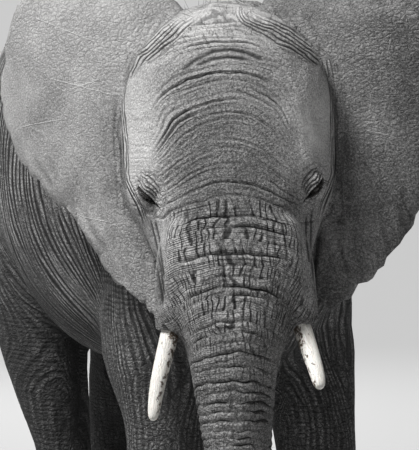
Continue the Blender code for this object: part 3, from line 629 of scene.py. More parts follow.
def shapeLids(side):
    middle, axes = eyeSpace(side)
    inHead = toHead(points(hide))
    a, b, c = ((inHead - middle) @ axes.T).T
    reach = np.hypot(a, b)
    near = (reach < lids["reach"]) & (c > -0.05) & (c < 0.09)
    fade = 1 - ramp(reach, lids["reach"] * 0.72, lids["reach"])
    # The lids' dome over the ball, and the hood above it
    inDome = reach < lidBall * lids["domeReach"]
    slope = np.clip(reach / lidBall, 0, lids["domeReach"]) * (math.pi / 2 / lids["domeReach"])
    dome = np.where(inDome, lidBall * np.cos(slope), -1)
    hoodAlong, hoodUp, hoodLong, hoodHigh, hoodLift = lids["hood"]
    skinUp = np.maximum(c, dome) + inDome * 0.0045 * hill(c, dome, 0.01)
    skinUp += hoodLift * hill(a, hoodAlong, hoodLong) * hill(b, hoodUp, hoodHigh) * fade
    almond = np.clip(1 - (a / lids["slitHalf"]) ** 2, 0, None)
    rim = np.where(b > 0, almond * lids["openUp"], -almond * lids["openDown"])
    outside = np.abs(b) - np.abs(rim)
    inSlit = np.abs(a) < lids["slitHalf"]
    fold, corner = lidFolds(a, b, almond)
    skinUp -= (fold * lids["foldDepth"] + corner * 0.0055) * fade
    skinUp += lids["rim"] * hill(outside, 0.0045, 0.0035) * (b > 0) * inSlit
    skinUp -= 0.4 * lids["rim"] * hill(b, -0.024, 0.01) * (1 - ramp(np.abs(a), 0.035, 0.065))
    # The slit's rim is drawn onto its outline, and what lies inside it goes behind the ball
    snap = inSlit & (np.abs(outside) < lids["snap"])
    onBall = np.sqrt(lidBall ** 2 - np.minimum(reach, lidBall) ** 2)
    skinUp = np.where(snap, np.minimum(skinUp, onBall + 0.0012), skinUp)
    skinUp = np.where(inSlit & (outside < -lids["snap"]), -lids["sink"], skinUp)
    moved = np.stack([a, np.where(snap, rim, b), skinUp], 1) @ axes + middle
    putPoints(hide, fromHead(np.where(near[:, None], moved, inHead)))
    shade = np.clip(fold, 0, 1) * np.where(b > 0, 0.8, 0.15) + corner
    shade += np.exp(-np.clip(outside, 0, None) / 0.0035) * (np.abs(a) < 0.052)
    return near * np.clip(shade, 0, 1) * fade, near * fade


eyeShade, lidShare = np.zeros((2, len(hide.data.vertices)))
for side in sides:
    shade, share = shapeLids(side)
    eyeShade, lidShare = np.maximum(eyeShade, shade), np.maximum(lidShare, share)
print("lids shaped")

inHead = toHead(points(hide))
facing = backwards()
owner = ownersOf(points(hide))


def isIn(*words):
    return np.isin(owner, [k for k, n in enumerate(fleshNames) if any(w in n for w in words)])


def shareOf(rounds, *words):
    # The share of each point that belongs to the named solids, soft at their seams
    return soften(isIn(*words).astype(float), edgeEnds(hide), rounds)


masks = {"ear": shareOf(4, "ear"), "front": shareOf(4, "head", "trunk", "jaw"),
         "leg": shareOf(6, "leg", "foot"), "whole": shareOf(4, "head", "ear", "trunk", "jaw")}
masks["front"] *= 1 - ramp(inHead[:, 1], 0.22, 0.34)
deepest = 0.33 + 0.11 * ramp(inHead[:, 2], 0.38, 0.55)
masks["whole"] *= 1 - ramp(inHead[:, 1], deepest - 0.1, deepest)
masks["face"] = masks["front"] * (1 - lidShare)
lift, paintedShade, turn, reach, level, furrow, band, temple = foldFace(inHead, facing, masks)
putPoints(hide, points(hide) + normals(hide) * lift[:, None])
paintedShade = np.maximum(paintedShade, eyeShade)
print("face and trunk folded")


def store(item, name, values):
    kind, field = ("FLOAT", "value") if values.ndim == 1 else ("FLOAT_VECTOR", "vector")
    layer = item.data.attributes.new(name, kind, "POINT")
    layer.data.foreach_set(field, values.astype(np.float32).ravel())


# The lie of the finer folds: folds for each metre across and along them, and how deep they are
lie = {"brow": (2.0, 30.0), "trunk": (0.3, 20.0), "crowding": 1.5,
       "body": (2.3, 27.0), "bend": 0.6, "bendTop": 2.1, "front": -0.45, "rear": 1.05, "middle": 0.1,
       "leanStarts": (-0.45, -0.08), "bodyRound": 0.5, "legRound": 0.2, "legTop": (0.8, 1.3),
       "browDepth": 0.0012, "trunkDepth": 0.0052, "bodyDepth": 0.0155, "legDepth": 0.0065,
       "browCross": 0.15, "trunkCross": 0.55, "bodyCross": 0.12, "legCross": 0.6, "legNet": 0.6}


def layBody(x, y, z):
    # Folds along the flanks, round the chest and rump, and round each leg; and each point's share of leg
    aside = np.abs(x - lie["middle"])
    across = np.clip(y, lie["front"], lie["rear"]) + lie["bodyRound"] * (
        np.arctan2(np.clip(y - lie["rear"], 0, None), aside) -
        np.arctan2(np.clip(lie["front"] - y, 0, None), aside))
    lean = lie["bend"] * (0.15 + 0.85 * ramp(y, *lie["leanStarts"]))
    across += lean * np.clip(lie["bendTop"] - z, 0, 2) ** 2
    low = np.zeros(len(x))
    for name in ("left_fore", "right_fore", "left_hind", "right_hind"):
        corner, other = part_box(name + "_foot")
        middle = (corner + other) / 2
        outward = (x - middle.x) * (1 if middle.x > lie["middle"] else -1)
        share = (np.hypot(x - middle.x, y - middle.y) < 0.45) * (1 - ramp(z, *lie["legTop"]))
        legAcross = middle.y + lie["legRound"] * (np.arctan2(outward, middle.y - y) - math.pi / 2) + \
            lean * np.clip(lie["bendTop"] - np.maximum(z, 1.2), 0, 2) ** 2
        across += (legAcross - across) * share
        low = np.maximum(low, share)
    return np.stack([z * lie["body"][0], across * lie["body"][1], x * 0.8], 1), low


def layLie():
    x, y, z = points(hide).T
    out, _, up = inHead.T
    whole, front, ear = masks["whole"], masks["front"], masks["ear"]
    body, low = layBody(x, y, z)
    arc = turn * reach * (1 + lie["crowding"] * np.abs(turn))
    trunk = np.stack([furrow[:, 0] * lie["trunk"][0], arc * lie["trunk"][1], level * 0], 1)
    brow = np.stack([arc * lie["brow"][0], level * lie["brow"][1], level * 0], 1)
    isTrunk = 1 - ramp(level, -0.035, 0.005)
    inFace, inTrunk = masks["face"] > 0.5, isTrunk > 0.5
    laid = np.where(inFace[:, None], np.where(inTrunk[:, None], trunk, brow), body)
    edge = np.abs(2 * masks["face"] - 1) * np.where(inFace, np.abs(2 * isTrunk - 1), 1)

    def each(kind):
        return np.where(inFace, np.where(inTrunk, lie["trunk" + kind], lie["brow" + kind]),
                        lie["body" + kind] + (lie["leg" + kind] - lie["body" + kind]) * low)

    cheek = ramp(np.abs(out), 0.222, 0.25) * ramp(up, -0.46, -0.36) * (1 - ramp(up, -0.05, -0.01)) * front
    rings = 1 - ramp(up, -0.62, -0.42)
    # Bold folds on the flanks, fainter over the back, rump and chest
    tail = 1 - 0.8 * ramp(y, 1.45, 1.53)
    calm = (1 - 0.6 * ramp(y, 0.85, 1.25)) * (1 - 0.55 * ramp(z, 2.15, 2.4)) * \
        (0.7 + 0.3 * ramp(y, -0.5, -0.2)) * tail * (1 - 0.6 * whole * (1 - front))
    calm = np.where(inFace, (1 - 0.85 * cheek) * (1 - 0.62 * rings), calm)
    depth = calm * each("Depth") * np.minimum(edge * 2.5, 1) * (1 - ear) * (1 - lidShare) * \
        (1 - band[:, 1]) * (1 - 0.75 * temple * inFace)
    shoulder = ramp(z, 1.15, 1.4) * (1 - ramp(y, -0.32, -0.14)) * (1 - masks["face"]) * (1 - whole)
    cross = np.maximum(each("Cross"), shoulder * 0.9)
    cross = np.where(inFace & inTrunk, cross * (0.5 + ramp(np.abs(turn) * reach, 0.05, 0.14)), cross)
    hips = ramp(y, 0.55, 0.8) * (1 - ramp(z, 1.45, 1.85))
    rows = 1 - np.maximum(0.7 * hips, np.maximum(0.55 * low, 3 * low * (1 - low)))
    rows *= tail * (1 - 0.65 * ramp(y, 0.8, 1.2)) * (1 - 0.75 * ramp(z, 2.05, 2.35)) * \
        (0.6 + 0.4 * ramp(y, -0.5, -0.2))
    net = 1 + lie["legNet"] * low - 0.85 * ear - 0.3 * band[:, 1]
    net += np.where(inFace, 1.3 * rings - 0.7 * cheek, 0.9 * (1 - calm))
    for name, values in (("rowShare", np.where(inFace, 1.0, rows)), ("lie", laid),
                         ("lieLook", np.stack([depth, cross, inFace], 1)), ("netShare", net),
                         ("furrow", furrow), ("band", band)):
        store(hide, name, values)


def layTone():
    # How pale the hide is (above 0.5) or dark (below), with painted light and painted shade in it; tells
    # where it is in shade
    x, _, z = inHead.T
    _, deep, high = points(hide).T
    ear, front = masks["ear"], masks["front"]
    # Painted light on the face: the top of the forehead and both temples are paler where the light falls, and
    # a patch beside the upper trunk on the animal's right is paler too. Patches: how much paler, middle out
    # and up, and widths. The middle of the forehead is darker skin
    face = 0.36 * ramp(z, 0.44, 0.56) - 0.36 * hill(x, -0.02, 0.23, 4) * hill(z, 0.18, 0.24, 4)
    for much, out, up, wide, tall in ((0.46, -0.35, 0.22, 0.1, 0.22), (0.36, 0.31, 0.22, 0.09, 0.14),
                                      (0.24, -0.2, -0.24, 0.06, 0.2)):
        face += much * hill(x, out, wide) * hill(z, up, tall)
    # A painted highlight: a pale arch along the brow ridge
    arch = [(-0.3, 0.15), (-0.238, 0.256), (-0.148, 0.317), (0.0, 0.338), (0.158, 0.31), (0.266, 0.238),
            (0.328, 0.148)]
    gap, along, _, length = nearLine(inHead[:, [0, 2]], arch)
    part = along / length
    face += 0.24 * hill(gap, 0, 0.026) * ramp(part, 0.35, 0.75) + \
        0.12 * hill(gap, 0, 0.03) * (1 - ramp(part, 0.3, 0.6))
    face -= 0.19 * (1 - ramp(z, -0.06, 0.02)) + 0.14 * (1 - ramp(z, -0.7, -0.4))
    # Painted shade: the ear on the animal's left, turned from the light, is darker all over, and the other
    # ear is darker beside its ridge; that ear is also darker low down
    ears = np.where(x > 0, -0.31, 0.08 - 0.14 * (1 - ramp(z, -0.25, 0.15)) -
                    0.16 * hill(x, -0.45, 0.05) * hill(z, 0.15, 0.35))
    rest = (1 - front) * (1 - ear)
    # Painted light and shade on the body: paler along the top of the back, darker low down and towards the
    # belly and hind legs; the body is darker overall too
    body = 0.47 * ramp(high, 2.15, 2.45) - 0.14 * (1 - ramp(high, 1.1, 1.6)) - 0.27 - \
        0.5 * ramp(deep, 0.3, 0.7) * (1 - ramp(high, 1.1, 1.5))
    # The lids are painted paler: painted light lifting their shade
    tone = 0.455 + 0.2 * lidShare + front * face - 0.01 * masks["leg"] + ear * ears + rest * body
    store(hide, "tone", np.clip(tone, 0, 1))
    # Painted shade under the belly and hind legs
    return rest * ramp(deep, 0.25, 0.6) * (1 - ramp(high, 1.1, 1.6)) * 0.66


# Painted shade: the creases, the gaps by the ears, the eye slits, and the shade under the belly and hind legs
store(hide, "paintedShade", np.maximum(paintedShade, layTone()))
layLie()
store(hide, "earShare", masks["ear"])
store(hide, "frontOn", inHead * [1, 0, 1])
store(hide, "faceShare", masks["face"])

# Shader helpers. A maths or blending node goes into the tree that its values come from.
def plug(made, inputs):
    # Links or sets each input that is given
    for key, value in inputs.items():
        if isinstance(value, bpy.types.NodeSocket):
            made.id_data.links.new(value, made.inputs[key])
        else:
            made.inputs[key].default_value = value


def node(tree, kind, inputs, **settings):
    made = tree.nodes.new("ShaderNode" + kind)
    for key, value in settings.items():
        setattr(made, key, value)
    plug(made, inputs)
    return made


def treeOf(*values):
    return next(value.id_data for value in values if isinstance(value, bpy.types.NodeSocket))


def mathNode(work, a, b=0.0, c=0.0, clamp=False):
    return node(treeOf(a, b, c), "Math", {0: a, 1: b, 2: c}, operation=work, use_clamp=clamp).outputs[0]


def plus(a, b):
    return mathNode("ADD", a, b)


def minus(a, b):
    return mathNode("SUBTRACT", a, b)


def times(a, *others):
    for b in others:
        a = mathNode("MULTIPLY", a, b)
    return a


def timesPlus(a, b, c):
    return mathNode("MULTIPLY_ADD", a, b, c)


def most(a, b):
    return mathNode("MAXIMUM", a, b)


def vectorNode(work, a, b, c=(0, 0, 0)):
    made = node(treeOf(a, b), "VectorMath", {0: a, 1: b, 2: c}, operation=work)
    return made.outputs["Value" if work == "DOT_PRODUCT" else "Vector"]


def scaled(vector, amount):
    return node(vector.id_data, "VectorMath", {0: vector, 3: amount}, operation="SCALE").outputs[0]


def parts(vector):
    return node(vector.id_data, "SeparateXYZ", {0: vector}).outputs


def joined(*values):
    return node(treeOf(*values), "CombineXYZ", dict(enumerate(values))).outputs[0]


def noise(vector, scale, detail=2.0, roughness=0.5):
    return node(vector.id_data, "TexNoise", {"Vector": vector, "Scale": scale, "Detail": detail,
                                             "Roughness": roughness}).outputs["Fac"]


def blendValue(share, a, b):
    return node(treeOf(share, a, b), "Mix", {0: share, 2: a, 3: b}, data_type="FLOAT").outputs[0]


def blendColour(share, a, b):
    return node(treeOf(share, a, b), "Mix", {0: share, 6: a, 7: b}, data_type="RGBA").outputs[2]


def smoothRange(value, low, high, start=0.0, end=1.0):
    return node(value.id_data, "MapRange", {0: value, 1: low, 2: high, 3: start, 4: end},
                interpolation_type="SMOOTHSTEP").outputs[0]


def faded(value, low, high):
    return smoothRange(value, low, high, 1.0, 0.0)


def bumped(height, distance=1.0):
    return node(height.id_data, "Bump", {"Strength": 1.0, "Distance": distance, "Height": height}).outputs[0]


def attribute(tree, name, vector=False):
    return node(tree, "Attribute", {}, attribute_name=name).outputs["Vector" if vector else "Fac"]


def objectPlace(tree):
    return node(tree, "TexCoord", {}).outputs["Object"]


def grey(level, warm=0.0):
    return (level * (1 + warm), level, level * (1 - warm), 1)


def newMaterial(name):
    made = bpy.data.materials.new(name)
    made.use_nodes = True
    return made, made.node_tree, made.node_tree.nodes["Principled BSDF"]


def newGroup(name, takes, gives):
    group = bpy.data.node_groups.new(name, "ShaderNodeTree")
    for label, value in {"Vector": None, **takes}.items():
        kind = "Float" if isinstance(value, float) else "Vector"
        socket = group.interface.new_socket(label, in_out="INPUT", socket_type="NodeSocket" + kind)
        if value is not None:
            socket.default_value = value
    for label in gives:
        group.interface.new_socket(label, in_out="OUTPUT", socket_type="NodeSocketFloat")
    return group, group.nodes.new("NodeGroupInput").outputs, group.nodes.new("NodeGroupOutput")


def creaseNetGroup():
    # A net of cracks between raised cushions, on whatever coordinates it is given
    group, into, out = newGroup("creaseNet", {"Crack": 0.06, "Cushion": 0.25, "Wander": 0.25},
                                ["Gap", "Rise"])
    drift = node(group, "TexNoise", {"Vector": into["Vector"], "Scale": 0.9, "Detail": 1.0}).outputs["Color"]
    moved = scaled(vectorNode("SUBTRACT", drift, (0.5, 0.5, 0.5)), into["Wander"])
    cells = node(group, "TexVoronoi", {"Vector": vectorNode("ADD", into["Vector"], moved), "Scale": 1.0},
                 feature="DISTANCE_TO_EDGE", voronoi_dimensions="3D").outputs["Distance"]
    plug(out, {"Gap": faded(cells, 0.0, into["Crack"]), "Rise": smoothRange(cells, 0.0, into["Cushion"])})
    return group


def foldRowsGroup():
    # Rows of folds that run along the first coordinate, stray, and fade in and out
    group, into, out = newGroup("foldRows", {"Line": 0.12, "Stray": 4.0, "Fade": 0.47, "Plate": 0.48},
                                ["Gap", "Rise"])
    slow = vectorNode("MULTIPLY", into["Vector"], (1.0, 0.3, 1.0))
    colour = node(group, "TexNoise", {"Vector": slow, "Scale": 1.0, "Detail": 2.5}).outputs["Color"]
    stray, seen = node(group, "SeparateColor", {0: colour}).outputs[:2]
    off = mathNode("PINGPONG", timesPlus(stray, into["Stray"], parts(into["Vector"])[1]), 0.5)
    seen = smoothRange(seen, minus(into["Fade"], 0.09), plus(into["Fade"], 0.09))
    plug(out, {"Gap": times(faded(off, 0.02, into["Line"]), seen),
               "Rise": blendValue(seen, 0.8, smoothRange(off, 0.0, into["Plate"]))})
    return group


def scratchGroup():
    # One fine scratch between two places of the head's frame, seen from the front
    group, into, out = newGroup("scratchMark", {"From": None, "To": None, "Width": 0.002}, ["Mark"])
    run = vectorNode("SUBTRACT", into["To"], into["From"])
    off = vectorNode("SUBTRACT", into["Vector"], into["From"])
    part = mathNode("DIVIDE", vectorNode("DOT_PRODUCT", off, run), vectorNode("DOT_PRODUCT", run, run),
                    clamp=True)
    gap = node(group, "VectorMath", {0: vectorNode("SUBTRACT", off, scaled(run, part))},
               operation="LENGTH").outputs["Value"]
    plug(out, {"Mark": faded(gap, 0.0, into["Width"])})
    return group


scratchMark = scratchGroup()
creaseNet = creaseNetGroup()
foldRows = foldRowsGroup()


def creases(vector, crack, cushion, wander):
    return node(vector.id_data, "Group", {"Vector": vector, "Crack": crack, "Cushion": cushion,
                                          "Wander": wander}, node_tree=creaseNet).outputs


def foldsAlong(vector, line, stray, fade, plate=0.48):
    return node(vector.id_data, "Group", {"Vector": vector, "Line": line, "Stray": stray, "Fade": fade,
                                          "Plate": plate}, node_tree=foldRows).outputs


# Pairs of values in the fine folds are for the body, then for the face
hidePaint = {
    "dustAndLitColour": grey(0.57, 0.01), "ground": grey(0.066, 0.006), "cleftShade": grey(0.007),
    "roughness": 0.8, "shine": 0.25, "foldDark": 0.92, "foldFull": 0.006,
    "foldLine": (0.4, 0.21), "foldStray": (3.1, 4.5), "foldPlate": (0.34, 0.22), "foldFade": (0.43, 0.46),
    "wearAndRidgeLight": (0.78, 0.68), "ridgeLightShare": (0.78, 0.62), "finer": (1.45, 1.37, 1.6), "finerShare": 0.6,
    "blockStep": 3.3, "crossed": (0.12, 20.0), "crossShare": 0.8, "cells": (2.6, 0.8, 2.6),
    "furrowRoll": 0.01, "furrowStray": 0.026, "furrowFull": 0.0062, "bandDepth": 0.011,
    "bandStretch": (9.0, 1.45), "earMarkDepth": 0.0016, "earMarkPale": 0.22, "scratchWidth": 0.0032,
    # Old scratches of the ears: out and up at either end
    "scratches": (((-0.72, 0.68), (-0.5, 0.58)), ((-0.66, 0.44), (-0.42, 0.37)),
                  ((-0.8, 0.26), (-0.63, 0.285)), ((-0.58, 0.4), (-0.47, 0.43)),
                  ((0.5, 0.44), (0.56, 0.39)), ((0.53, 0.4), (0.6, 0.43)), ((0.52, 0.2), (0.62, 0.17)),
                  ((0.45, 0.02), (0.52, 0.04)), ((-0.62, -0.08), (-0.45, -0.11))),
    # Nets of the bare hide: cells per metre, depth in metres, how dark the cracks are
    "woven": ((40.0, 40.0, 56.0), 0.0028, 0.5), "grain": ((125.0, 125.0, 190.0), 0.0011, 0.5),
    "pores": (420.0, 0.0005),
}


def fineFolds(tree, furrow):
    # Long folds, finer ones between them and short ones across; gives height, the painted shade of their
    # lines, and a painted highlight on their tops with painted shade below them
    depth, crossing, inFace = parts(attribute(tree, "lieLook", True))
    rows = attribute(tree, "rowShare")
    strength = mathNode("DIVIDE", depth, hidePaint["foldFull"], clamp=True)
    thick, stray, plate, fade, ridgeLightFrom, ridgeLightShare = (blendValue(inFace, *hidePaint[key]) for key in (
        "foldLine", "foldStray", "foldPlate", "foldFade", "wearAndRidgeLight", "ridgeLightShare"))
    # The pattern is a new one between each pair of furrows
    block = times(mathNode("FLOOR", furrow[0]), times(inFace, hidePaint["blockStep"]))
    laid = vectorNode("ADD", attribute(tree, "lie", True), joined(0.0, 0.0, block))
    gap, rise = foldsAlong(laid, thick, stray, fade, plate)
    # Painted highlight on the tops of the folds, painted shade below them; the fold lines get painted shade
    wearAndRidgeLight = times(minus(rise, ridgeLightFrom), times(strength, ridgeLightShare))
    height = times(rise, depth, rows)
    dark = times(gap, strength, rows)
    # The body's long folds break up into uneven cells
    gap, rise = foldsAlong(vectorNode("MULTIPLY", laid, hidePaint["finer"]), thick, stray, 0.48, plate)
    cellGap, cellRise = creases(vectorNode("MULTIPLY", laid, hidePaint["cells"]), 0.17, 0.3, 0.9)
    cellGap = times(cellGap, timesPlus(rows, -0.22, 1.0))
    gap = blendValue(inFace, cellGap, most(gap, cellGap))
    rise = blendValue(inFace, cellRise, blendValue(0.5, rise, cellRise))
    height = timesPlus(times(rise, depth), hidePaint["finerShare"], height)
    dark = most(dark, times(gap, strength, 0.85))
    part = parts(laid)
    short, often = hidePaint["crossed"]
    gap, rise = foldsAlong(joined(times(part[1], short), times(part[0], often), part[2]), thick, 2.0, 0.44)
    height = timesPlus(rise, times(depth, crossing, hidePaint["crossShare"]), height)
    dark = times(most(dark, times(gap, strength, crossing)), hidePaint["foldDark"])
    return height, dark, wearAndRidgeLight


def furrowFolds(furrow, place, height, dark):
    # Furrows across the face and trunk, deep and shallow by turns along their run
    rank, spacing, depth = furrow
    broken = smoothRange(noise(place, 9.0), 0.36, 0.54, 0.3, 1.0)
    stray = times(minus(noise(place, 13.0, 3.0), 0.5), hidePaint["furrowStray"])
    off = times(mathNode("PINGPONG", plus(rank, mathNode("DIVIDE", stray, spacing)), 0.5), spacing)
    cut = times(depth, most(broken, smoothRange(depth, 0.0072, 0.0088)))
    gap = faded(off, 0.0008, timesPlus(cut, 0.42, 0.0016))
    # Painted shade in the furrows, darker where they are deeper
    dark = most(dark, times(gap, mathNode("DIVIDE", cut, hidePaint["furrowFull"], clamp=True)))
    return timesPlus(smoothRange(off, 0.0, hidePaint["furrowRoll"]), cut, height), dark


def bandFolds(tree, height, dark):
    # Bands of folds round the roots of the ears, with one deep line at the root itself
    cycle, share, along = parts(attribute(tree, "band", True))
    run, often = hidePaint["bandStretch"]
    gap, rise = foldsAlong(joined(times(along, run), times(cycle, often)), 0.32, 2.6, 0.33)
    root = faded(mathNode("ABSOLUTE", minus(cycle, 19.9)), 0.1, 0.4)
    # Painted shade in the lines of the bands and at the root
    dark = most(dark, times(most(gap, root), share))
    return timesPlus(times(minus(rise, root), share), hidePaint["bandDepth"], height), dark


def earMarks(tree, place, patches, ear):
    # Veins and old scratches on the ears
    veins = creases(vectorNode("MULTIPLY", place, (6.0, 6.0, 4.5)), 0.03, 0.2, 1.4)[0]
    turned = node(tree, "Mapping", {"Vector": place, "Rotation": (0.0, 0.9, 0.3), "Scale": (1.3, 9.0, 6.0)})
    scratch = foldsAlong(turned.outputs[0], 0.035, 2.5, 0.55)[0]
    marks = times(most(times(veins, 0.4), times(scratch, smoothRange(patches, 0.54, 0.64))), ear)
    wobble = node(tree, "TexNoise", {"Vector": place, "Scale": 14.0}).outputs["Color"]
    frontOn = vectorNode("MULTIPLY_ADD", wobble, (0.008, 0.0, 0.008), attribute(tree, "frontOn", True))
    for (outA, upA), (outB, upB) in hidePaint["scratches"]:
        mark = node(tree, "Group", {"Vector": frontOn, "From": (outA, 0.0, upA), "To": (outB, 0.0, upB),
                                    "Width": hidePaint["scratchWidth"]}, node_tree=scratchMark)
        marks = most(marks, times(mark.outputs[0], ear))
    return marks


def hideMaterial():
    made, tree, shader = newMaterial("hide")
    place = objectPlace(tree)
    ear, face = attribute(tree, "earShare"), attribute(tree, "faceShare")
    furrow = parts(attribute(tree, "furrow", True))
    height, dark, wearAndRidgeLight = fineFolds(tree, furrow)
    height, dark = furrowFolds(furrow, place, height, dark)
    height, dark = bandFolds(tree, height, dark)
    shares = {"woven": times(attribute(tree, "netShare"), blendValue(face, 1.0, 0.45)),
              "grain": timesPlus(most(ear, face), -0.4, 1.0)}
    for key, share in shares.items():
        sizes, deep, darkness = hidePaint[key]
        gap, rise = creases(vectorNode("MULTIPLY", place, sizes), 0.09, 0.3, 0.8)
        height = timesPlus(times(rise, share), deep, height)
        dark = most(dark, times(gap, share, darkness))
    scale, deep = hidePaint["pores"]
    height = timesPlus(noise(place, scale, 3.0), deep, height)
    # Dust in patches and specks, painted highlights on the tops of the folds with painted shade below them,
    # and the painted light and shade of the tone
    patches = noise(place, 3.2, 5.0, 0.62)
    speckle = times(minus(noise(place, 150.0, 4.0, 0.9), 0.5), timesPlus(ear, -0.9, 2.9))
    lightness = plus(plus(speckle, timesPlus(patches, 0.9, -0.45)), wearAndRidgeLight)
    dustAndLight = mathNode("ADD", attribute(tree, "tone"), lightness, clamp=True)
    marks = earMarks(tree, place, patches, ear)
    height = timesPlus(marks, hidePaint["earMarkDepth"], height)
    dustAndLight = timesPlus(marks, hidePaint["earMarkPale"], dustAndLight)
    # Soft ripples down the lower parts of the ears
    out, _, up = parts(attribute(tree, "frontOn", True))
    lean = timesPlus(up, 0.3, out)
    ripple = foldsAlong(joined(times(up, 3.0), times(lean, 18.0)), 0.2, 3.0, 0.5)[1]
    height = timesPlus(ripple, times(smoothRange(up, 0.0, 0.25, 0.01, 0.0028), ear), height)
    # The pale end stands for dust and painted light. Painted shade darkens the fold lines, furrows and bands,
    # the creases, ear gaps and eye slits, and the hide under the belly and hind legs; the cracks of the nets
    # are darker too
    colour = blendColour(dustAndLight, hidePaint["ground"], hidePaint["dustAndLitColour"])
    colour = blendColour(dark, colour, hidePaint["cleftShade"])
    colour = blendColour(times(attribute(tree, "paintedShade"), 0.9), colour, hidePaint["cleftShade"])
    plug(shader, {"Base Color": colour, "Normal": bumped(height), "Roughness": hidePaint["roughness"],
                  "Specular IOR Level": hidePaint["shine"]})
    return made


# The soles end flat on the floor
flat = points(hide)
flat[:, 2] = np.maximum(flat[:, 2], 0)
putPoints(hide, flat)
placed(hide, fleshNames, hideMaterial())

# Eyes. Iris and pupil are angles from the middle of the eye's front.
eyeLook = {"iris": 0.52, "pupil": 0.2, "cornea": 0.0014, "bulge": 0.45,
           "irisColour": (0.018, 0.011, 0.007, 1), "rimColour": (0.005, 0.004, 0.003, 1),
           "pupilColour": (0.002, 0.002, 0.002, 1)}


def eyeMaterial():
    made, tree, shader = newMaterial("wetEye")
    spread = attribute(tree, "fromPupil")
    iris = blendColour(noise(objectPlace(tree), 520.0, 3.0), eyeLook["rimColour"], eyeLook["irisColour"])
    outer = smoothRange(spread, eyeLook["iris"] - 0.05, eyeLook["iris"] + 0.06)
    inner = smoothRange(spread, eyeLook["pupil"] - 0.03, eyeLook["pupil"] + 0.03)
    colour = blendColour(outer, blendColour(inner, eyeLook["pupilColour"], iris), eyeLook["rimColour"])
    plug(shader, {"Base Color": colour, "Roughness": 0.16, "Specular IOR Level": 0.25, "Coat Weight": 0.35,
                  "Coat Roughness": 0.02})
    return made


wetEye = eyeMaterial()
for side in sides:
    gaze = Vector(eyeSpace(side)[1][2] @ headAxes)
    bm = bmesh.new()
    bmesh.ops.create_uvsphere(bm, u_segments=48, v_segments=32, radius=headFrame["eyeRadius"])
    angles = np.array([v.co.angle(Vector((0, 0, 1))) for v in bm.verts])
    for v, angle in zip(bm.verts, angles):
        v.co += v.co.normalized() * eyeLook["cornea"] * hill(angle, 0, eyeLook["bulge"], 4)
    turnTo = Vector((0, 0, 1)).rotation_difference(gaze).to_matrix().to_4x4()
    bmesh.ops.transform(bm, matrix=Matrix.Translation(eyeMiddles[side]) @ turnTo, verts=bm.verts)
    ball = newObject(side + "Eyeball", bm)
    store(ball, "fromPupil", angles)
    placed(ball, [side + "_eye"], wetEye)
print("eyes set")

# Tusks
tuskLook = {"rounds": 2, "colour": (0.82, 0.8, 0.755, 1), "stain": (0.34, 0.29, 0.225, 1),
            "crack": (0.09, 0.065, 0.045, 1), "averaged": 200}


def roundedCopy(name, nodeName, rounds):
    bm = mergedCopy(nodeName)
    bmesh.ops.recalc_face_normals(bm, faces=bm.faces)
    item = newObject(name, bm)
    rounder = item.modifiers.new("round", "SUBSURF")
    rounder.levels = rounder.render_levels = rounds
    applied(item)
    return item


def ivoryMaterial():
    made, tree, shader = newMaterial("ivory")
    grain = attribute(tree, "tuskGrain", True)
    streaks = noise(vectorNode("MULTIPLY", grain, (9, 9, 14)), 1.0, 5.0, 0.6)
    wearAndRidgeLight = timesPlus(attribute(tree, "tuskRoot"), 0.15, noise(objectPlace(tree), 38.0, 5.0, 0.68))
    specks = smoothRange(timesPlus(attribute(tree, "tuskInner"), 0.16, wearAndRidgeLight), 0.66, 0.74)
    gap, rise = creases(vectorNode("MULTIPLY", grain, (6, 6, 22)), 0.035, 0.12, 0.8)
    colour = blendColour(times(smoothRange(streaks, 0.4, 0.72), 0.45), tuskLook["colour"], tuskLook["stain"])
    colour = blendColour(specks, colour, tuskLook["crack"])
    colour = blendColour(times(gap, 0.5), colour, tuskLook["crack"])
    plug(shader, {"Base Color": colour, "Normal": bumped(minus(rise, specks), 0.0012), "Roughness": 0.42,
                  "Subsurface Weight": 0.08, "Subsurface Radius": (0.01, 0.006, 0.004)})
    return made


ivory = ivoryMaterial()
for side in sides:
    tusk = roundedCopy(side + "Tusk", side + "_tusk", tuskLook["rounds"])
    at = toHead(points(tusk))
    low, high = at[at[:, 2].argmin()], at[at[:, 2].argmax()]
    along = (at - high) @ ((low - high) / np.linalg.norm(low - high))
    long = along.max()
    order = np.argsort(along)
    even = np.ones(tuskLook["averaged"]) / tuskLook["averaged"]
    middle = np.stack([np.convolve(column[order], even, "same")[np.argsort(order)] for column in at.T], 1)
    angle = np.arctan2(at[:, 0] - middle[:, 0], at[:, 1] - middle[:, 1])
    inner = (middle[:, 0] - at[:, 0]) * np.sign(middle[:, 0])
    store(tusk, "tuskGrain", np.stack([np.cos(angle), np.sin(angle), np.clip(along, 0, None)], 1))
    store(tusk, "tuskRoot", 1 - ramp(along, long * 0.2, long * 0.55))
    store(tusk, "tuskInner", ramp(inner, -0.005, 0.02))
    placed(tusk, [side + "_tusk"], ivory)
print("tusks set")

# Nails
nailLook = {"rounds": 2, "colour": (0.29, 0.27, 0.235, 1), "edge": (0.16, 0.145, 0.125, 1)}


def nailMaterial():
    made, tree, shader = newMaterial("nailHorn")
    place = objectPlace(tree)
    growth = noise(vectorNode("MULTIPLY", place, (14, 14, 120)), 1.0, 4.0)
    chips = noise(place, 90.0, 4.0)
    gap, rise = creases(vectorNode("MULTIPLY", place, (70, 70, 22)), 0.05, 0.2, 0.8)
    colour = blendColour(smoothRange(growth, 0.35, 0.65), nailLook["edge"], nailLook["colour"])
    height = plus(growth, times(plus(chips, rise), 0.4))
    plug(shader, {"Base Color": blendColour(times(gap, 0.5), colour, nailLook["edge"]),
                  "Normal": bumped(height, 0.002), "Roughness": 0.6})
    return made


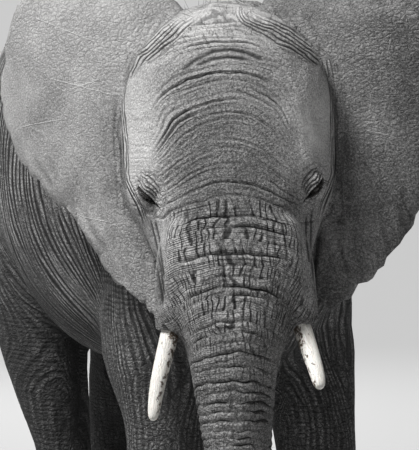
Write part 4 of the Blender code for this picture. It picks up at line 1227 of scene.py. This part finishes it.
nailHorn = nailMaterial()
for name in sorted(n for n in nodes if "_nail_" in n):
    side, foot, _, number = name.split("_")
    nail = roundedCopy(side + foot.capitalize() + "Nail" + number, name, nailLook["rounds"])
    placed(nail, [name], nailHorn)
print("nails set")

# Hair: each hair is a thin solid strand
hairs = {"sides": 3, "steps": 5, "patch": 0.003, "colour": (0.012, 0.011, 0.01, 1),
         "tip": (0.03, 0.027, 0.024, 1),
         "brush": {"count": 900, "width": 0.0011, "root": 0.3, "rise": 0.1},
         "lashes": {"count": 70, "long": 0.034, "width": 0.0009},
         # Stiff hairs of each place: how many, how long, and the seed of their draw
         "bristleWidth": 0.0007, "bristles": {"crown": (420, 0.045, 1), "chin": (160, 0.055, 2),
                                              "trunk": (700, 0.018, 3), "back": (500, 0.04, 4)}}
steps = np.linspace(0, 1, hairs["steps"] + 1)[:, None]


def strandShape():
    # One upright strand, a unit long and a unit thick, that narrows to its tip
    bm = bmesh.new()
    bmesh.ops.create_circle(bm, cap_ends=True, segments=hairs["sides"], radius=1.0)
    face = bm.faces[:][0]
    for t in steps[1:, 0]:
        face = bmesh.ops.extrude_discrete_faces(bm, faces=[face])["faces"][0]
        for v in face.verts:
            v.co.z = t
            v.co.xy = v.co.xy.normalized() * (1 - 0.85 * t ** 1.5)
    template = bpy.data.meshes.new("strand")
    bm.to_mesh(template)
    bm.free()
    return template


def growHairs(name, paths, width, unwrapAt):
    # Copies the strand along each path of points, and gives each copy its patch on the unwrap
    template = strandShape()
    bm = bmesh.new()
    for _ in paths:
        bm.from_mesh(template)
    bpy.data.meshes.remove(template)
    item = newObject(name, bm)
    base = points(item)[:len(item.data.vertices) // len(paths)]
    places = []
    for path in paths:
        centre = np.stack([np.interp(base[:, 2], steps[:, 0], column) for column in path.T], 1)
        way = path[-1] - path[0]
        way /= np.linalg.norm(way)
        aside = np.cross(way, [0.3, 0.9, 0.2])
        aside /= np.linalg.norm(aside)
        places.append(centre + (base[:, :1] * aside + base[:, 1:2] * np.cross(way, aside)) * width)
    putPoints(item, np.concatenate(places))
    bm = bmesh.new()
    bm.from_mesh(item.data)
    bmesh.ops.recalc_face_normals(bm, faces=bm.faces)
    layer = bm.loops.layers.uv.new("OFBake")
    each = len(bm.faces) // len(paths)
    for k, f in enumerate(bm.faces):
        u, v = unwrapAt[k // each]
        for spot, loop in enumerate(f.loops):
            loop[layer].uv = (u + hairs["patch"] * (spot % 4 in (1, 2)), v + hairs["patch"] * (spot % 4 > 1))
    bm.to_mesh(item.data)
    bm.free()
    return item


def hairMaterial():
    made, tree, shader = newMaterial("wiryHair")
    mixed = smoothRange(noise(objectPlace(tree), 180.0), 0.35, 0.65)
    plug(shader, {"Base Color": blendColour(mixed, hairs["colour"], hairs["tip"]), "Roughness": 0.45})
    return made


wiryHair = hairMaterial()


def makeBrush():
    look = hairs["brush"]
    low, high = map(np.array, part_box("tail_brush"))
    dice = np.random.default_rng(5)
    top = np.array([*(low + high)[:2] / 2, high[2]])
    half = (high - low) / 2
    paths, unwrapAt = [], []
    for _ in range(look["count"]):
        angle = dice.uniform(0, 2 * math.pi)
        out = math.sqrt(dice.uniform(0, 1))
        rise = dice.uniform(0, look["rise"])
        ring = half * [math.cos(angle), math.sin(angle), 0]
        root = top + ring * look["root"] * out + [0, 0, rise]
        length = half[2] * 2 * dice.uniform(0.55, 1.0) + rise * 0.7
        flare = ring * out * dice.uniform(0.4, 0.95)
        paths.append(root + flare * np.sin(steps * 2.2) - np.array([0, 0, length]) * steps +
                     dice.normal(size=3) * 0.006 * steps ** 2 * [1, 1, 0])
        unwrapAt.append((0.05 + 0.4 * angle / (2 * math.pi), 0.1 + 2.0 * rise + 0.1 * out))
    placed(growHairs("tailBrush", paths, look["width"], unwrapAt), ["tail_brush"], wiryHair)


def makeBristles():
    # Sparse stiff hairs on random points of the crown, chin, trunk and back
    at, outs = points(hide), normals(hide)
    x, _, z = toHead(at).T
    onFace, chin = masks["face"] > 0.6, isIn("jaw")
    where = {"crown": onFace & (z > 0.5) & (np.abs(x) < 0.3), "chin": chin,
             "trunk": onFace & (z < -0.3) & ~chin,
             "back": (masks["face"] < 0.1) & (masks["ear"] < 0.1) & (at[:, 2] > 2.25)}
    paths, unwrapAt = [], []
    for key, (count, length, seed) in hairs["bristles"].items():
        chosen = np.nonzero(where[key])[0]
        dice = np.random.default_rng(seed)
        for k in chosen[dice.integers(0, len(chosen), count)]:
            way = outs[k] + dice.normal(size=3) * 0.35 + [0, 0.25, -0.15]
            long = length * dice.uniform(0.5, 1.2)
            paths.append(at[k] - outs[k] * 0.002 + way * long * steps +
                         np.array([0, 0, -0.25]) * long * steps ** 2)
            unwrapAt.append((0.5 + 0.45 * (at[k][1] / 3.6), 0.1 + 0.3 * at[k][2]))
    placed(growHairs("bristles", paths, hairs["bristleWidth"], unwrapAt), [], wiryHair)


def makeLashes(side, seed, unwrapRow):
    look = hairs["lashes"]
    middle, axes = eyeSpace(side)
    dice = np.random.default_rng(seed)
    paths, unwrapAt = [], []
    for _ in range(look["count"]):
        along = dice.uniform(-0.86, 0.8)
        a = along * lids["slitHalf"]
        b = (1 - along ** 2) * lids["openUp"] + dice.uniform(-0.0005, 0.0015)
        c = math.sqrt(max(lidBall ** 2 - a * a - b * b, 0.0064 ** 2)) + 0.001
        long = look["long"] * dice.uniform(0.6, 1.1)
        way = np.array([along * 0.35 + dice.normal() * 0.1, -0.62 + dice.normal() * 0.08, 0.8])
        local = np.array([a, b, c]) + way * long * steps + np.array([0, -0.35, -0.25]) * long * steps ** 2
        paths.append(fromHead(local @ axes + middle))
        unwrapAt.append((0.2 + 0.1 * along, unwrapRow))
    placed(growHairs(side + "Lashes", paths, look["width"], unwrapAt), [], wiryHair)


makeBrush()
makeBristles()
makeLashes("left", 7, 0.5)
makeLashes("right", 8, 0.6)
print("hair grown")
